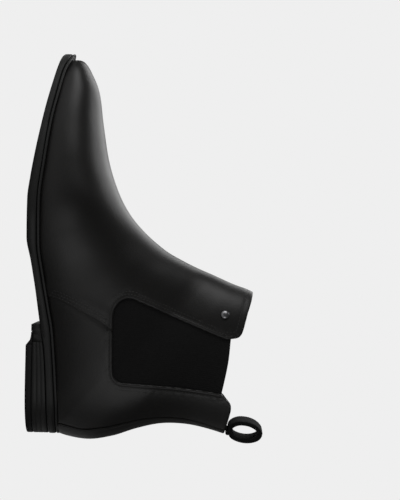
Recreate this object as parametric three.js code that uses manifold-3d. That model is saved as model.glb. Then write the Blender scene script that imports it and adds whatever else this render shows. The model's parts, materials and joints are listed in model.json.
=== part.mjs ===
// A left ankle boot of the chelsea kind: a whole-front leather upper with an elastic gore on the outer
// side, a zip on the inner side, a stacked heel and a woven pull loop. Millimetres, +Z up, the toe towards
// -X, the outer (lateral) side towards -Y. The origin lies on the heel's ground face, under the heel, on
// the boot's centre line.
import * as THREE from 'three';
import { mergeVertices } from 'three/addons/utils/BufferGeometryUtils.js';
import Module from 'manifold-3d';

const wasm = await Module();
wasm.setup();

// Clearances and wall thicknesses.
const GAP = 0.3;
const LEATHER = 1.6;
const MIDDLE_IN = LEATHER + GAP;
const MIDDLE_OUT = MIDDLE_IN + 0.9;
const LINING_IN = MIDDLE_OUT + GAP;
const LINING_OUT = LINING_IN + 0.9;
const CAVITY = LINING_OUT + GAP;
const GUARD_IN = 5.0;
const GUARD_OUT = 6.0;
const OVERRUN = 4;

// The last that the upper is built on: sections from the toe to the topline. Each section is a slanted
// plane that runs from `back` [x, z], on the feather edge or the heel curve, to `front` [x, z], on the
// ridge of the vamp or the shin. `centre` is its middle line's y, `foot` its half width at the feather
// edge, `outer` and `inner` its greatest half widths on the lateral and medial sides, and `level` how far
// up the section those lie.
const LAST = [
  { back: [-260, 27.5], front: [-260.9, 33.5], centre: 11, foot: 0, outer: 0, inner: 0, level: 0.3 },
  { back: [-257.5, 26], front: [-258.8, 39], centre: 11, foot: 13, outer: 13.2, inner: 13.2, level: 0.3 },
  { back: [-249, 23.2], front: [-250.6, 44.6], centre: 11, foot: 20.6, outer: 21.2, inner: 21, level: 0.3 },
  { back: [-234, 20], front: [-234.3, 51.3], centre: 10, foot: 27.5, outer: 28.6, inner: 28, level: 0.28 },
  { back: [-209.5, 15.1], front: [-208, 55.1], centre: 8.2, foot: 35.4, outer: 37.6, inner: 36, level: 0.26 },
  { back: [-178, 11.2], front: [-180, 60.3], centre: 5, foot: 42, outer: 44.8, inner: 43, level: 0.25 },
  { back: [-147, 8.2], front: [-155, 68.7], centre: 0.7, foot: 44.2, outer: 47.2, inner: 45.2, level: 0.25 },
  { back: [-116, 8.4], front: [-137, 78.7], centre: -1.2, foot: 40.4, outer: 43.6, inner: 42, level: 0.28 },
  { back: [-85, 12.4], front: [-122, 92], centre: -1.2, foot: 33, outer: 40, inner: 39.5, level: 0.34 },
  { back: [-55, 17.6], front: [-109.5, 107.3], centre: -0.6, foot: 28.8, outer: 39, inner: 39, level: 0.4 },
  { back: [-25, 21.3], front: [-102, 120.8], centre: 0, foot: 28.9, outer: 38.8, inner: 38.8, level: 0.42 },
  { back: [8, 23.6], front: [-97, 131], centre: 0, foot: 28.8, outer: 38.3, inner: 38.3, level: 0.42 },
  { back: [28, 23.8], front: [-94, 138], centre: 0, foot: 18.8, outer: 37.6, inner: 37.6, level: 0.41 },
  { back: [36, 24.6], front: [-91.5, 144.3], centre: 0, foot: 0, outer: 36.9, inner: 36.9, level: 0.41 },
  { back: [40.9, 47], front: [-89, 150.3], centre: 0, foot: 0, outer: 36.1, inner: 36.1, level: 0.42 },
  { back: [38, 67.7], front: [-86.5, 156.2], centre: 0, foot: 0, outer: 35.1, inner: 35.1, level: 0.43 },
  { back: [31.7, 86.6], front: [-84.5, 161], centre: 0, foot: 0, outer: 33.7, inner: 33.7, level: 0.45 },
  { back: [27.3, 105.8], front: [-82.5, 166.5], centre: 0, foot: 0, outer: 32.3, inner: 32.3, level: 0.46 },
  { back: [27.2, 124.5], front: [-80.5, 172.5], centre: 0, foot: 0, outer: 31.2, inner: 31.2, level: 0.47 },
  { back: [30, 140.8], front: [-78, 178], centre: 0, foot: 0, outer: 30.6, inner: 30.6, level: 0.47 },
  { back: [35.5, 160], front: [-75.5, 183.5], centre: 0, foot: 0, outer: 30.3, inner: 30.3, level: 0.47 },
  { back: [40.5, 174], front: [-73, 190], centre: 0, foot: 0, outer: 30.2, inner: 30.2, level: 0.47 },
];
const HEEL_POINT = 13;
const LAST_TOP = 20.6;
const LOWER_ROUNDNESS = 2.4;
const UPPER_ROUNDNESS = 2.1;
const RINGS = [
  0, 0.3, 0.9, 1.6, 2.4, 3.2, 4, 4.8, 5.6, 6.4, 7.2, 8, 9, 10, 11, 12, 12.6, 13,
  13.5, 14, 15, 16, 17, 18, 19, 20,
  LAST_TOP,
];
const HALF_RING_STEPS = 9;

// The sole unit, seen from the side: [x, z] points of the feather plane and of the outsole's underside.
const FEATHER_LINE = [
  [-270, 34], [-259.5, 29.6], [-250.7, 25.8], [-234, 22], [-209.5, 17.1], [-178, 13.2], [-146.5, 10.3],
  [-115.7, 10.4], [-84.7, 14.4], [-61.2, 18.5], [-45.6, 21.3], [-29.9, 22.8], [-6.4, 24.7], [17, 26],
  [45, 26.3],
];
const TREAD_LINE = [
  [-270, 25], [-262.7, 21.5], [-252, 18.2], [-242, 15.7], [-222.3, 11.2], [-203, 7.6], [-184, 4.4],
  [-165, 1.7], [-148, 0], [-118, 0], [-100, 3.2], [-81.4, 6.2], [-53.3, 10.2], [-28, 14.3], [0, 16.2],
  [45, 17.6],
];
// The sole's edge in plan, from the toe along the lateral side to the heel and back along the medial side.
const SOLE_EDGE = [
  [-265.4, 11], [-259.4, -7], [-244.5, -16.7], [-225.5, -25.1], [-206.5, -32.5], [-187.5, -38.8],
  [-168.5, -43.8], [-149.5, -47.6], [-135, -48.9], [-116.5, -46.1], [-97, -41], [-75, -35.6], [-50, -32.6],
  [-25, -32.2], [0, -32], [16, -28.8], [28, -21], [35.4, -10.5], [37.6, 0], [35.4, 10.5], [28, 21],
  [16, 28.8], [0, 32], [-25, 31.4], [-50, 30.4], [-75, 32.4], [-97, 38], [-116.5, 43.3], [-135, 46.6],
  [-149.5, 49.9], [-168.5, 51.8], [-187.5, 50.9], [-206.5, 48.4], [-225.5, 44.3], [-244.5, 38.4],
  [-259.4, 29.4],
];
const SOLE_EDGE_STEPS = 60;
const WELT_THICKNESS = 2.2;
const WELT_WIDTH = 9;
const SHANK = { from: -98, to: -8, width: 13, top: 0.6, thickness: 1.2 };

// The heel: ground face, top piece, block with a recessed shoulder in front, and nails.
const HEEL = {
  front: -34, back: 37.1, topPiece: 5, shoulderFront: -50, shoulderHalf: 28.5,
};
// The heel's front edge sweeps up to the shoulder's underside as a quarter ellipse.
const HEEL_SWEEP = { length: 10, height: 3.9 };
const NAIL = {
  radius: 1.3, hole: 1.6, bottom: 9, top: 25.6, holeTop: 40,
  places: [[21, 0], [8, -15], [8, 15], [-16, -17], [-16, 17]],
};

// Inside the boot, above the feather plane.
const INSOLE_THICKNESS = 2.2;
const PAD = { front: -50, thickness: 2.5 };
const SOCK = { thickness: 1.2, rampFrom: -76, rampTo: -54 };

// Panel outlines in side view, [x, z].
const SIDE_SEAM = [[-72.5, 5], [-71.2, 18.2], [-68.4, 27], [-61.3, 42], [-53.5, 57.6], [-45.9, 68.3]];
const GORE_WINDOW = [
  [-53.1, 68], [-14.1, 68.9], [-9, 70.8], [-6.1, 74.5], [-5.6, 79.1], [-2.8, 117.7], [0.2, 143.4],
  [1.8, 153.6], [2.4, 175], [-41.7, 180], [-41.7, 160.5], [-42.1, 154.4], [-54.6, 123.3], [-69.2, 88.6],
  [-71.8, 80.8], [-69.9, 74.7], [-65.7, 70.5], [-59, 68.4],
];
const GORE_HEM = [[-60, 162.3], [-41.7, 160.3], [-22.1, 158.4], [1.9, 153.7], [20, 149.5]];
const GORE_TUCK = 6;
const OUTER_TOPLINE = [
  [-110, 182], [-76.8, 177.3], [-61.3, 173.1], [-50.3, 170.3], [-45.2, 168.4], [-42.7, 165.6],
  [-41.7, 160.3], [-22.1, 158.4], [1.9, 153.7], [6.4, 157.7], [10.7, 160.7], [15, 161.2], [19.3, 160.4],
  [31.6, 157.3], [60, 150],
];
const INNER_TOPLINE = [
  [-110, 182], [-76.8, 177.3], [-61.3, 172.6], [-51, 167.5], [-43, 161.5], [-34, 158.2], [-14, 155.2],
  [1.9, 152.6], [7, 156], [11.5, 159], [16, 159.8], [31.6, 157.3], [60, 150],
];
const BACK_STRIP = [
  [26.5, 5], [28, 26], [32.2, 45], [31, 58], [29.3, 67.7], [24.3, 86.6], [21.8, 105.8], [22.6, 124.5],
  [26.2, 140.8], [31, 156], [34, 175],
];
const TOE_PUFF = [[-300, 5], [-212, 5], [-213, 30], [-222, 70], [-300, 70]];
const HEEL_COUNTER_EDGE = [[-47, 5], [-44, 30], [-34, 50], [-8, 58], [16, 70], [30, 82], [60, 90]];
const LINING_SEAM = [[-92, 5], [-90, 30], [-76, 60], [-73, 92], [-60, 124], [-47, 160], [-46, 200]];

// The zip, on a straight line down the medial side, given by its two ends in side view.
const ZIP = {
  top: [-15.6, 155.5], bottom: [-36, 62], slot: 4.6, liningSlot: 5.7,
  tapeFrom: 2.9, tapeTo: 11, tapeStart: 1.5, tapeOverrun: 2, slotStart: -20,
};
const TEETH = {
  from: 0.6, to: 2.6, out: -1.0, in: -3.1, start: 3, end: 92.3, stopStart: 0.7, stopInset: 0.6,
};
const SLIDER = {
  centre: 9.6, length: 12, halfWidth: 4, face: 0.8, outerPlate: 1.3,
  innerFace: -3.5, innerPlate: 1, innerHalf: 2.5, postHalf: 0.3, postLength: 5, bite: 0.2,
};
const LUG = { thickness: 1.6, radius: 2.1, height: 2.7, hole: 1.1, holeWidth: 4, offset: 1.5, root: 0.5 };
const RING = { radius: 4.3, wire: 0.6 };
const TAB = {
  width: 6, length: 30, thickness: 1.6, eye: 2.3, eyeHole: 1.35, eyeWidth: 4, holeWidth: 12, flare: 5,
};
const GUARD = { halfWidth: 15, start: 3, overrun: 4 };

// The woven pull loop and the stud.
const LOOP_PATH = [
  [31.5, 161.4], [27.2, 162.6], [24.6, 168.4], [25.2, 176.2], [28.2, 182.3], [32.4, 185.3], [36.6, 183.2],
  [38.6, 177], [38.2, 170], [35.6, 163.6],
];
const LOOP = {
  thickness: 4, halfWidth: 11, stemTop: 162, stemBottom: 158.6, stemHalf: 1.6, yaw: 7, x: 32.4,
};
const ANCHOR = { halfWidth: 12.5, bottom: 146, top: 157, front: 10, back: 60 };
const STUD = {
  at: [-60.3, 155.2], head: 3.4, rim: 0.4, dome: 1.3, post: 0.9, hole: 1.3, bite: 0.2,
  washer: 2.6, washerIn: -2.9, washerOut: -2.5,
};

// How far cutting prisms reach past the boot: sideways, downwards and upwards.
const FAR = 90;
const UNDER = -60;
const OVER = 260;
const COLUMN = { bottom: -20, top: 80 };
const BEHIND = 140;

// Solids --------------------------------------------------------------------------------------------------

function toSolid(geometry) {
  const plain = geometry.index ? geometry.toNonIndexed() : geometry.clone();
  plain.deleteAttribute('normal');
  plain.deleteAttribute('uv');
  const merged = mergeVertices(plain, 1e-4);
  const corners = merged.index.array;
  const kept = [];
  for (let i = 0; i < corners.length; i += 3) {
    const [a, b, c] = [corners[i], corners[i + 1], corners[i + 2]];
    if (a !== b && b !== c && c !== a) kept.push(a, b, c);
  }
  const vertProperties = new Float32Array(merged.attributes.position.array);
  return new wasm.Manifold(new wasm.Mesh({ numProp: 3, vertProperties, triVerts: new Uint32Array(kept) }));
}

function toGeometry(solid) {
  const mesh = solid.getMesh();
  const points = [];
  for (let i = 0; i < mesh.vertProperties.length; i += mesh.numProp) {
    points.push(mesh.vertProperties[i], mesh.vertProperties[i + 1], mesh.vertProperties[i + 2]);
  }
  const geometry = new THREE.BufferGeometry();
  geometry.setAttribute('position', new THREE.Float32BufferAttribute(points, 3));
  geometry.setIndex(Array.from(mesh.triVerts));
  geometry.computeVertexNormals();
  return geometry;
}

const toShape = (points) => new THREE.Shape(points.map(([u, v]) => new THREE.Vector2(u, v)));

// A prism along Y with the [x, z] outline given.
function sidePrism(points, yLow = -FAR, yHigh = FAR) {
  const geometry = new THREE.ExtrudeGeometry(toShape(points), { depth: yHigh - yLow, bevelEnabled: false });
  return toSolid(geometry.rotateX(Math.PI / 2).translate(0, yHigh, 0));
}

// A prism along Z with the [x, y] outline given.
function planPrism(points, zLow, zHigh) {
  const geometry = new THREE.ExtrudeGeometry(toShape(points), { depth: zHigh - zLow, bevelEnabled: false });
  return toSolid(geometry.translate(0, 0, zLow));
}

// A closed outline moved inwards by `distance`, or outwards where it is negative.
function inset(points, distance) {
  const area = THREE.ShapeUtils.area(points.map(([u, v]) => new THREE.Vector2(u, v)));
  const turn = Math.sign(area);
  const at = (i) => new THREE.Vector2(...points[(i + points.length) % points.length]);
  return points.map((point, i) => {
    const before = at(i).sub(at(i - 1)).normalize();
    const after = at(i + 1).sub(at(i)).normalize();
    const normal = new THREE.Vector2(-before.y - after.y, before.x + after.x);
    normal.multiplyScalar(turn).normalize();
    const stretch = Math.max(0.5, normal.dot(new THREE.Vector2(-before.y, before.x).multiplyScalar(turn)));
    return [point[0] + (normal.x * distance) / stretch, point[1] + (normal.y * distance) / stretch];
  });
}

const below = (line) => [...line, [line.at(-1)[0], UNDER], [line[0][0], UNDER]];
const above = (line) => [...line, [line.at(-1)[0], OVER], [line[0][0], OVER]];
const behind = (line) => [...line, [BEHIND, line.at(-1)[1]], [BEHIND, line[0][1]]];
const raised = (line, by) => line.map(([x, z]) => [x, z + by]);
const band = (line, low, high) => [...raised(line, high), ...raised(line, low).reverse()];

// The last ------------------------------------------------------------------------------------------------

function catmullRom(a, b, c, d, f) {
  const linear = (c - a) * f;
  const square = (2 * a - 5 * b + 4 * c - d) * f * f;
  const cube = (3 * b - a - 3 * c + d) * f * f * f;
  return (2 * b + linear + square + cube) / 2;
}

// A column of the LAST table at section number t.
function lastValue(t, read) {
  const i = Math.min(Math.floor(t), LAST.length - 2);
  const row = (k) => read(LAST[Math.max(0, Math.min(LAST.length - 1, k))]);
  return catmullRom(row(i - 1), row(i), row(i + 1), row(i + 2), t - i);
}

const lastWidth = (t, read) => Math.sqrt(Math.max(0, lastValue(t, (row) => read(row) ** 2)));

function section(t) {
  return {
    back: [lastValue(t, (row) => row.back[0]), lastValue(t, (row) => row.back[1])],
    front: [lastValue(t, (row) => row.front[0]), lastValue(t, (row) => row.front[1])],
    centre: lastValue(t, (row) => row.centre),
    level: lastValue(t, (row) => row.level),
    foot: t >= HEEL_POINT ? 0 : lastWidth(t, (row) => row.foot),
    outer: lastWidth(t, (row) => row.outer),
    inner: lastWidth(t, (row) => row.inner),
  };
}

// The half width of a section at the fraction q of the way from its back to its front.
function halfWidth(cut, q, side) {
  const widest = side < 0 ? cut.outer : cut.inner;
  if (q < cut.level) {
    const n = LOWER_ROUNDNESS;
    const u = (cut.level - q) / cut.level;
    return Math.max(0, widest ** n - (widest ** n - cut.foot ** n) * u ** n) ** (1 / n);
  }
  const v = Math.min(1, (q - cut.level) / (1 - cut.level));
  return widest * (1 - v ** UPPER_ROUNDNESS) ** (1 / UPPER_ROUNDNESS);
}

// The last's outer surface: s runs from -1 at the lateral feather edge over 0 on the ridge to 1 at the
// medial one.
function lastPoint(t, s) {
  const cut = section(t);
  const q = (1 - Math.cos(Math.PI * (1 - Math.abs(s)))) / 2;
  return new THREE.Vector3(
    cut.back[0] + (cut.front[0] - cut.back[0]) * q,
    cut.centre + Math.sign(s) * halfWidth(cut, q, Math.sign(s)),
    cut.back[1] + (cut.front[1] - cut.back[1]) * q,
  );
}

function lastNormal(t, s) {
  if (t === 0) return new THREE.Vector3(-1, 0, 0);
  const step = 0.04;
  const closed = t >= HEEL_POINT;
  const wrap = (value) => (closed && Math.abs(value) > 1 ? value - 2 * Math.sign(value) : value);
  const clamp = (value) => Math.max(-1, Math.min(1, value));
  const across = lastPoint(t, closed ? wrap(s + step) : clamp(s + step));
  across.sub(lastPoint(t, closed ? wrap(s - step) : clamp(s - step)));
  const along = lastPoint(Math.min(t + step, LAST.length - 1), s).sub(lastPoint(Math.max(t - step, 0.01), s));
  const normal = along.cross(across).normalize();
  if (Math.abs(s) === 1 && closed) normal.y = 0;
  if (s === 0) normal.y = 0;
  return normal.normalize();
}

// The closed solid inside the last's surface, `depth` below it. A solid that hollows another one out runs
// past it, by `overrun` at the top and at the feather edge.
function lastSolid(depth, overrun = 0) {
  const rings = RINGS.map((t) => {
    const ring = [];
    for (let j = -HALF_RING_STEPS; j <= HALF_RING_STEPS; j += 1) {
      const s = j / HALF_RING_STEPS;
      const point = lastPoint(t, s).addScaledVector(lastNormal(t, s), -depth);
      if (t === 0) point.y = section(0).centre;
      if (Math.abs(s) === 1 && t <= HEEL_POINT) point.z = lastPoint(t, s).z - overrun;
      if (t === LAST_TOP) point.z += overrun;
      ring.push(point);
    }
    return ring;
  });
  const triangles = [];
  const quad = (a, b, c, d) => triangles.push(a, b, c, a, c, d);
  for (let i = 0; i + 1 < rings.length; i += 1) {
    const [low, high] = [rings[i], rings[i + 1]];
    for (let j = 0; j + 1 < low.length; j += 1) quad(low[j], high[j], high[j + 1], low[j + 1]);
    quad(low.at(-1), high.at(-1), high[0], low[0]);
  }
  const top = rings.at(-1);
  const middle = top.reduce((sum, point) => sum.add(point), new THREE.Vector3()).divideScalar(top.length);
  for (let j = 0; j + 1 < top.length; j += 1) triangles.push(middle, top[j + 1], top[j]);
  const geometry = new THREE.BufferGeometry().setFromPoints(triangles);
  return toSolid(geometry);
}

// The last's surface at a side-view place: its point, and the section it lies on.
function surfaceAt([x, z], side) {
  let [low, high] = [0.05, LAST_TOP];
  const past = (t) => {
    const { back, front } = section(t);
    return (front[0] - back[0]) * (z - back[1]) - (front[1] - back[1]) * (x - back[0]) > 0;
  };
  const start = past(low);
  for (let i = 0; i < 40; i += 1) {
    const middle = (low + high) / 2;
    if (past(middle) === start) low = middle;
    else high = middle;
  }
  const cut = section(low);
  const length = Math.hypot(cut.front[0] - cut.back[0], cut.front[1] - cut.back[1]);
  const q = Math.hypot(x - cut.back[0], z - cut.back[1]) / length;
  return new THREE.Vector3(x, cut.centre + side * halfWidth(cut, q, side), z);
}

// The zip's own frame: x across it, y down it and z out of the boot, from its top end on the leather's
// surface.
const zipTop = surfaceAt(ZIP.top, 1);
const zipBottom = surfaceAt(ZIP.bottom, 1);
const zipDown = zipBottom.clone().sub(zipTop).normalize();
const zipOut = new THREE.Vector3(0, 1, 0).addScaledVector(zipDown, -zipDown.y).normalize();
const zipAcross = zipDown.clone().cross(zipOut);
const zipFrame = new THREE.Matrix4().makeBasis(zipAcross, zipDown, zipOut).setPosition(zipTop);

const onZip = (geometry) => toSolid(geometry.applyMatrix4(zipFrame));

function zipBox(x0, x1, y0, y1, z0, z1) {
  const box = new THREE.BoxGeometry(x1 - x0, y1 - y0, z1 - z0);
  return onZip(box.translate((x0 + x1) / 2, (y0 + y1) / 2, (z0 + z1) / 2));
}

// A strip beside the zip's line in side view, cut through the medial side.
function zipStrip(x0, x1, y0, y1) {
  const corners = [[x0, y0], [x1, y0], [x1, y1], [x0, y1]].map(([x, y]) => {
    const point = new THREE.Vector3(x, y, 0).applyMatrix4(zipFrame);
    return [point.x, point.z];
  });
  return sidePrism(corners, 0, FAR);
}

// Upper ---------------------------------------------------------------------------------------------------

const underFeather = sidePrism(below(FEATHER_LINE));
const outerTop = sidePrism(above(OUTER_TOPLINE), -FAR, 0);
const innerTop = sidePrism(above(INNER_TOPLINE), 0, FAR);
const goreTop = sidePrism(above(GORE_HEM), -FAR, 0);
const window = sidePrism(GORE_WINDOW, -FAR, 0);
const zipLength = zipTop.distanceTo(zipBottom);
const zipSlot = zipStrip(-ZIP.slot, ZIP.slot, ZIP.slotStart, zipLength);

const shell = (from, to) => lastSolid(from).subtract(lastSolid(to, OVERRUN)).subtract(underFeather);

const leather = shell(0, LEATHER).subtract(outerTop).subtract(innerTop);
const middleLayer = shell(MIDDLE_IN, MIDDLE_OUT);
const liningLayer = shell(LINING_IN, LINING_OUT).subtract(outerTop).subtract(innerTop);

const outerRear = [...SIDE_SEAM, [-30, 90], [-20, 220], [120, 220], [120, 5]];
const zipAxis = [ZIP.bottom, ZIP.top];
const innerRear = [...SIDE_SEAM.slice(0, -1), ...zipAxis, [-8, 220], [120, 220], [120, 5]];
const backStrip = behind(BACK_STRIP);

const pieces = {};

const studPoint = surfaceAt(STUD.at, -1);
const studTilt = new THREE.Matrix4();

function studCylinder(radius, inner, outer) {
  const cylinder = new THREE.CylinderGeometry(radius, radius, outer - inner, 16);
  return toSolid(cylinder.translate(0, (inner + outer) / 2, 0).applyMatrix4(studTilt));
}

function placeStud() {
  const ahead = surfaceAt([STUD.at[0] + 1, STUD.at[1]], -1).sub(studPoint);
  const over = surfaceAt([STUD.at[0], STUD.at[1] + 1], -1).sub(studPoint);
  const out = ahead.cross(over).normalize();
  if (out.y > 0) out.negate();
  const turn = new THREE.Quaternion().setFromUnitVectors(new THREE.Vector3(0, 1, 0), out);
  studTilt.compose(studPoint, turn, new THREE.Vector3(1, 1, 1));
}
placeStud();

pieces.vamp = leather
  .subtract(sidePrism(outerRear, -FAR, 0))
  .subtract(sidePrism(innerRear, 0, FAR))
  .subtract(window)
  .subtract(zipSlot)
  .subtract(studCylinder(STUD.hole, -6, 6));
pieces.quarter_lateral = leather
  .intersect(sidePrism(inset(outerRear, GAP), -FAR, -GAP))
  .subtract(window)
  .subtract(sidePrism(backStrip));
pieces.quarter_medial = leather
  .intersect(sidePrism(inset(innerRear, GAP), GAP, FAR))
  .subtract(zipSlot)
  .subtract(sidePrism(backStrip));
pieces.back_strip = leather.intersect(sidePrism(inset(backStrip, GAP)));

pieces.gore_lateral = middleLayer
  .intersect(sidePrism(inset(GORE_WINDOW, -GORE_TUCK), -FAR, 0))
  .subtract(goreTop);
pieces.toe_puff = middleLayer.intersect(sidePrism(TOE_PUFF));
pieces.heel_counter = middleLayer.intersect(sidePrism([...HEEL_COUNTER_EDGE, [60, 5]]));

const liningRear = behind(LINING_SEAM);
const liningSlot = zipStrip(-ZIP.liningSlot, ZIP.liningSlot, ZIP.slotStart, zipLength + 1);
const openLining = liningLayer.subtract(window).subtract(liningSlot);
pieces.lining_front = openLining.subtract(sidePrism(liningRear));
pieces.lining_rear = openLining.intersect(sidePrism(inset(liningRear, GAP)));

// Zip -----------------------------------------------------------------------------------------------------

const tapeEnd = zipLength + ZIP.tapeOverrun;
pieces.zip_tape_front = middleLayer.intersect(zipStrip(-ZIP.tapeTo, -ZIP.tapeFrom, ZIP.tapeStart, tapeEnd));
pieces.zip_tape_rear = middleLayer.intersect(zipStrip(ZIP.tapeFrom, ZIP.tapeTo, ZIP.tapeStart, tapeEnd));

for (const [name, side] of [['front', -1], ['rear', 1]]) {
  const [near, far] = [side * TEETH.from, side * TEETH.to].sort((a, b) => a - b);
  pieces[`zip_teeth_${name}`] = zipBox(near, far, TEETH.start, TEETH.end, TEETH.in, TEETH.out);
  pieces[`zip_top_stop_${name}`] = zipBox(near, far, TEETH.stopStart, TEETH.start - GAP, TEETH.in, TEETH.out);
}
const bottomStopEnd = zipLength - TEETH.stopInset;
pieces.zip_bottom_stop = zipBox(-TEETH.to, TEETH.to, TEETH.end + GAP, bottomStopEnd, TEETH.in, TEETH.out);

pieces.zip_guard = lastSolid(GUARD_IN)
  .subtract(lastSolid(GUARD_OUT, OVERRUN))
  .intersect(zipStrip(-GUARD.halfWidth, GUARD.halfWidth, GUARD.start, zipLength + GUARD.overrun));

const lugCentre = SLIDER.centre + LUG.offset;
const lugHeight = SLIDER.face + LUG.height;

// A disc across the zip, centred on the ring's hinge line.
function lugDisc(radius, thickness) {
  const disc = new THREE.CylinderGeometry(radius, radius, thickness, 16);
  return onZip(disc.rotateZ(Math.PI / 2).translate(0, lugCentre, lugHeight));
}

function zipSlider() {
  const [start, end] = [SLIDER.centre - SLIDER.length / 2, SLIDER.centre + SLIDER.length / 2];
  const outerUnder = SLIDER.face - SLIDER.outerPlate;
  const plateBottom = SLIDER.innerFace - SLIDER.innerPlate;
  const outerPlate = zipBox(-SLIDER.halfWidth, SLIDER.halfWidth, start, end, outerUnder, SLIDER.face);
  const innerPlate = zipBox(-SLIDER.innerHalf, SLIDER.innerHalf, start, end, plateBottom, SLIDER.innerFace);
  const [postLow, postHigh] = [SLIDER.innerFace - SLIDER.bite, outerUnder + SLIDER.bite];
  const post = zipBox(-SLIDER.postHalf, SLIDER.postHalf, start, start + SLIDER.postLength, postLow, postHigh);
  const halfLug = LUG.thickness / 2;
  const neck = zipBox(-halfLug, halfLug, lugCentre - LUG.radius, lugCentre + LUG.radius, LUG.root, lugHeight);
  const lug = lugDisc(LUG.radius, LUG.thickness).add(neck).subtract(lugDisc(LUG.hole, LUG.holeWidth));
  return outerPlate.add(innerPlate).add(post).add(lug);
}
pieces.zip_slider = zipSlider();

function pullRing() {
  const ring = new THREE.TorusGeometry(RING.radius, RING.wire, 8, 28);
  return onZip(ring.translate(0, lugCentre + RING.radius, lugHeight));
}
pieces.pull_ring = pullRing();

const eyeCentre = lugCentre + 2 * RING.radius;

function pullTab() {
  const disc = (radius, width) => {
    const cylinder = new THREE.CylinderGeometry(radius, radius, width, 16);
    return onZip(cylinder.rotateZ(Math.PI / 2).translate(0, eyeCentre, lugHeight));
  };
  const half = TAB.thickness / 2;
  const outline = new THREE.Shape();
  const straightEnd = eyeCentre + TAB.length - TAB.width / 2;
  outline.moveTo(-TAB.eyeWidth / 2, eyeCentre);
  outline.lineTo(TAB.eyeWidth / 2, eyeCentre);
  outline.lineTo(TAB.width / 2, eyeCentre + TAB.flare);
  outline.lineTo(TAB.width / 2, straightEnd);
  outline.absarc(0, straightEnd, TAB.width / 2, 0, Math.PI, false);
  outline.lineTo(-TAB.width / 2, eyeCentre + TAB.flare);
  const extrusion = { depth: TAB.thickness, bevelEnabled: false, curveSegments: 5 };
  const plate = new THREE.ExtrudeGeometry(outline, extrusion);
  const tongue = onZip(plate.translate(0, 0, lugHeight - half));
  return tongue.add(disc(TAB.eye, TAB.eyeWidth)).subtract(disc(TAB.eyeHole, TAB.holeWidth));
}
pieces.pull_tab = pullTab();

// Pull loop and stud --------------------------------------------------------------------------------------

function pullLoop() {
  const path = new THREE.CatmullRomCurve3(LOOP_PATH.map(([x, z]) => new THREE.Vector3(x, z, 0)), true);
  const centre = path.getSpacedPoints(36).slice(0, -1).map((point) => [point.x, point.y]);
  const outside = sidePrism(inset(centre, -LOOP.thickness / 2), -LOOP.halfWidth, LOOP.halfWidth);
  const inside = sidePrism(inset(centre, LOOP.thickness / 2), -FAR, FAR);
  const [left, right] = [LOOP.x - LOOP.stemHalf, LOOP.x + LOOP.stemHalf];
  const stemOutline = [
    [left, LOOP.stemBottom], [right, LOOP.stemBottom], [right, LOOP.stemTop], [left, LOOP.stemTop],
  ];
  const stem = sidePrism(stemOutline, -LOOP.halfWidth, LOOP.halfWidth);
  const loop = outside.subtract(inside).add(stem);
  const turn = new THREE.Matrix4().makeTranslation(LOOP.x, 0, 0);
  turn.multiply(new THREE.Matrix4().makeRotationZ(THREE.MathUtils.degToRad(LOOP.yaw)));
  turn.multiply(new THREE.Matrix4().makeTranslation(-LOOP.x, 0, 0));
  return toSolid(toGeometry(loop).applyMatrix4(turn));
}
pieces.pull_loop = pullLoop();

const anchorOutline = [
  [ANCHOR.front, ANCHOR.bottom], [ANCHOR.back, ANCHOR.bottom],
  [ANCHOR.back, ANCHOR.top], [ANCHOR.front, ANCHOR.top],
];
pieces.pull_loop_anchor = middleLayer
  .intersect(sidePrism(anchorOutline, -ANCHOR.halfWidth, ANCHOR.halfWidth))
  .subtract(outerTop)
  .subtract(innerTop);

function studHead() {
  const profile = [new THREE.Vector2(0, GAP)];
  const steps = 5;
  for (let i = 0; i <= steps; i += 1) {
    const angle = (i / steps) * (Math.PI / 2);
    const height = GAP + STUD.rim + STUD.dome * Math.sin(angle);
    profile.push(new THREE.Vector2(STUD.head * Math.cos(angle), height));
  }
  profile.splice(1, 0, new THREE.Vector2(STUD.head, GAP));
  profile.at(-1).x = 0;
  return toSolid(new THREE.LatheGeometry(profile, 20).applyMatrix4(studTilt));
}
pieces.stud = studHead().add(studCylinder(STUD.post, -LEATHER - STUD.bite, GAP + STUD.bite));
pieces.stud_washer = studCylinder(STUD.washer, STUD.washerIn, STUD.washerOut);

// Bottom unit ---------------------------------------------------------------------------------------------

const soleEdge = new THREE.CatmullRomCurve3(SOLE_EDGE.map(([x, y]) => new THREE.Vector3(x, y, 0)), true)
  .getSpacedPoints(SOLE_EDGE_STEPS)
  .slice(0, -1)
  .map((point) => [point.x, point.y]);
const soleColumn = planPrism(soleEdge, COLUMN.bottom, COLUMN.top);
const weltInside = inset(soleEdge, WELT_WIDTH);
const layer = (low, high) => sidePrism(band(FEATHER_LINE, low, high));
const weltLayer = layer(-GAP - WELT_THICKNESS, -GAP);
const outsoleTop = -2 * GAP - WELT_THICKNESS;

function nails(radius, zLow, zHigh) {
  return NAIL.places.map(([x, y]) => {
    const nail = new THREE.CylinderGeometry(radius, radius, zHigh - zLow, 8).rotateX(Math.PI / 2);
    return toSolid(nail.translate(x, y, (zLow + zHigh) / 2));
  });
}

function withNailHoles(solid) {
  return nails(NAIL.hole, NAIL.bottom - GAP, NAIL.holeTop).reduce((rest, hole) => rest.subtract(hole), solid);
}

const outsoleSide = [...raised(FEATHER_LINE, outsoleTop), ...TREAD_LINE.toReversed()];
pieces.outsole = withNailHoles(soleColumn.intersect(sidePrism(outsoleSide)));
pieces.welt = soleColumn.intersect(weltLayer).subtract(planPrism(weltInside, COLUMN.bottom, COLUMN.top));

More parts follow.
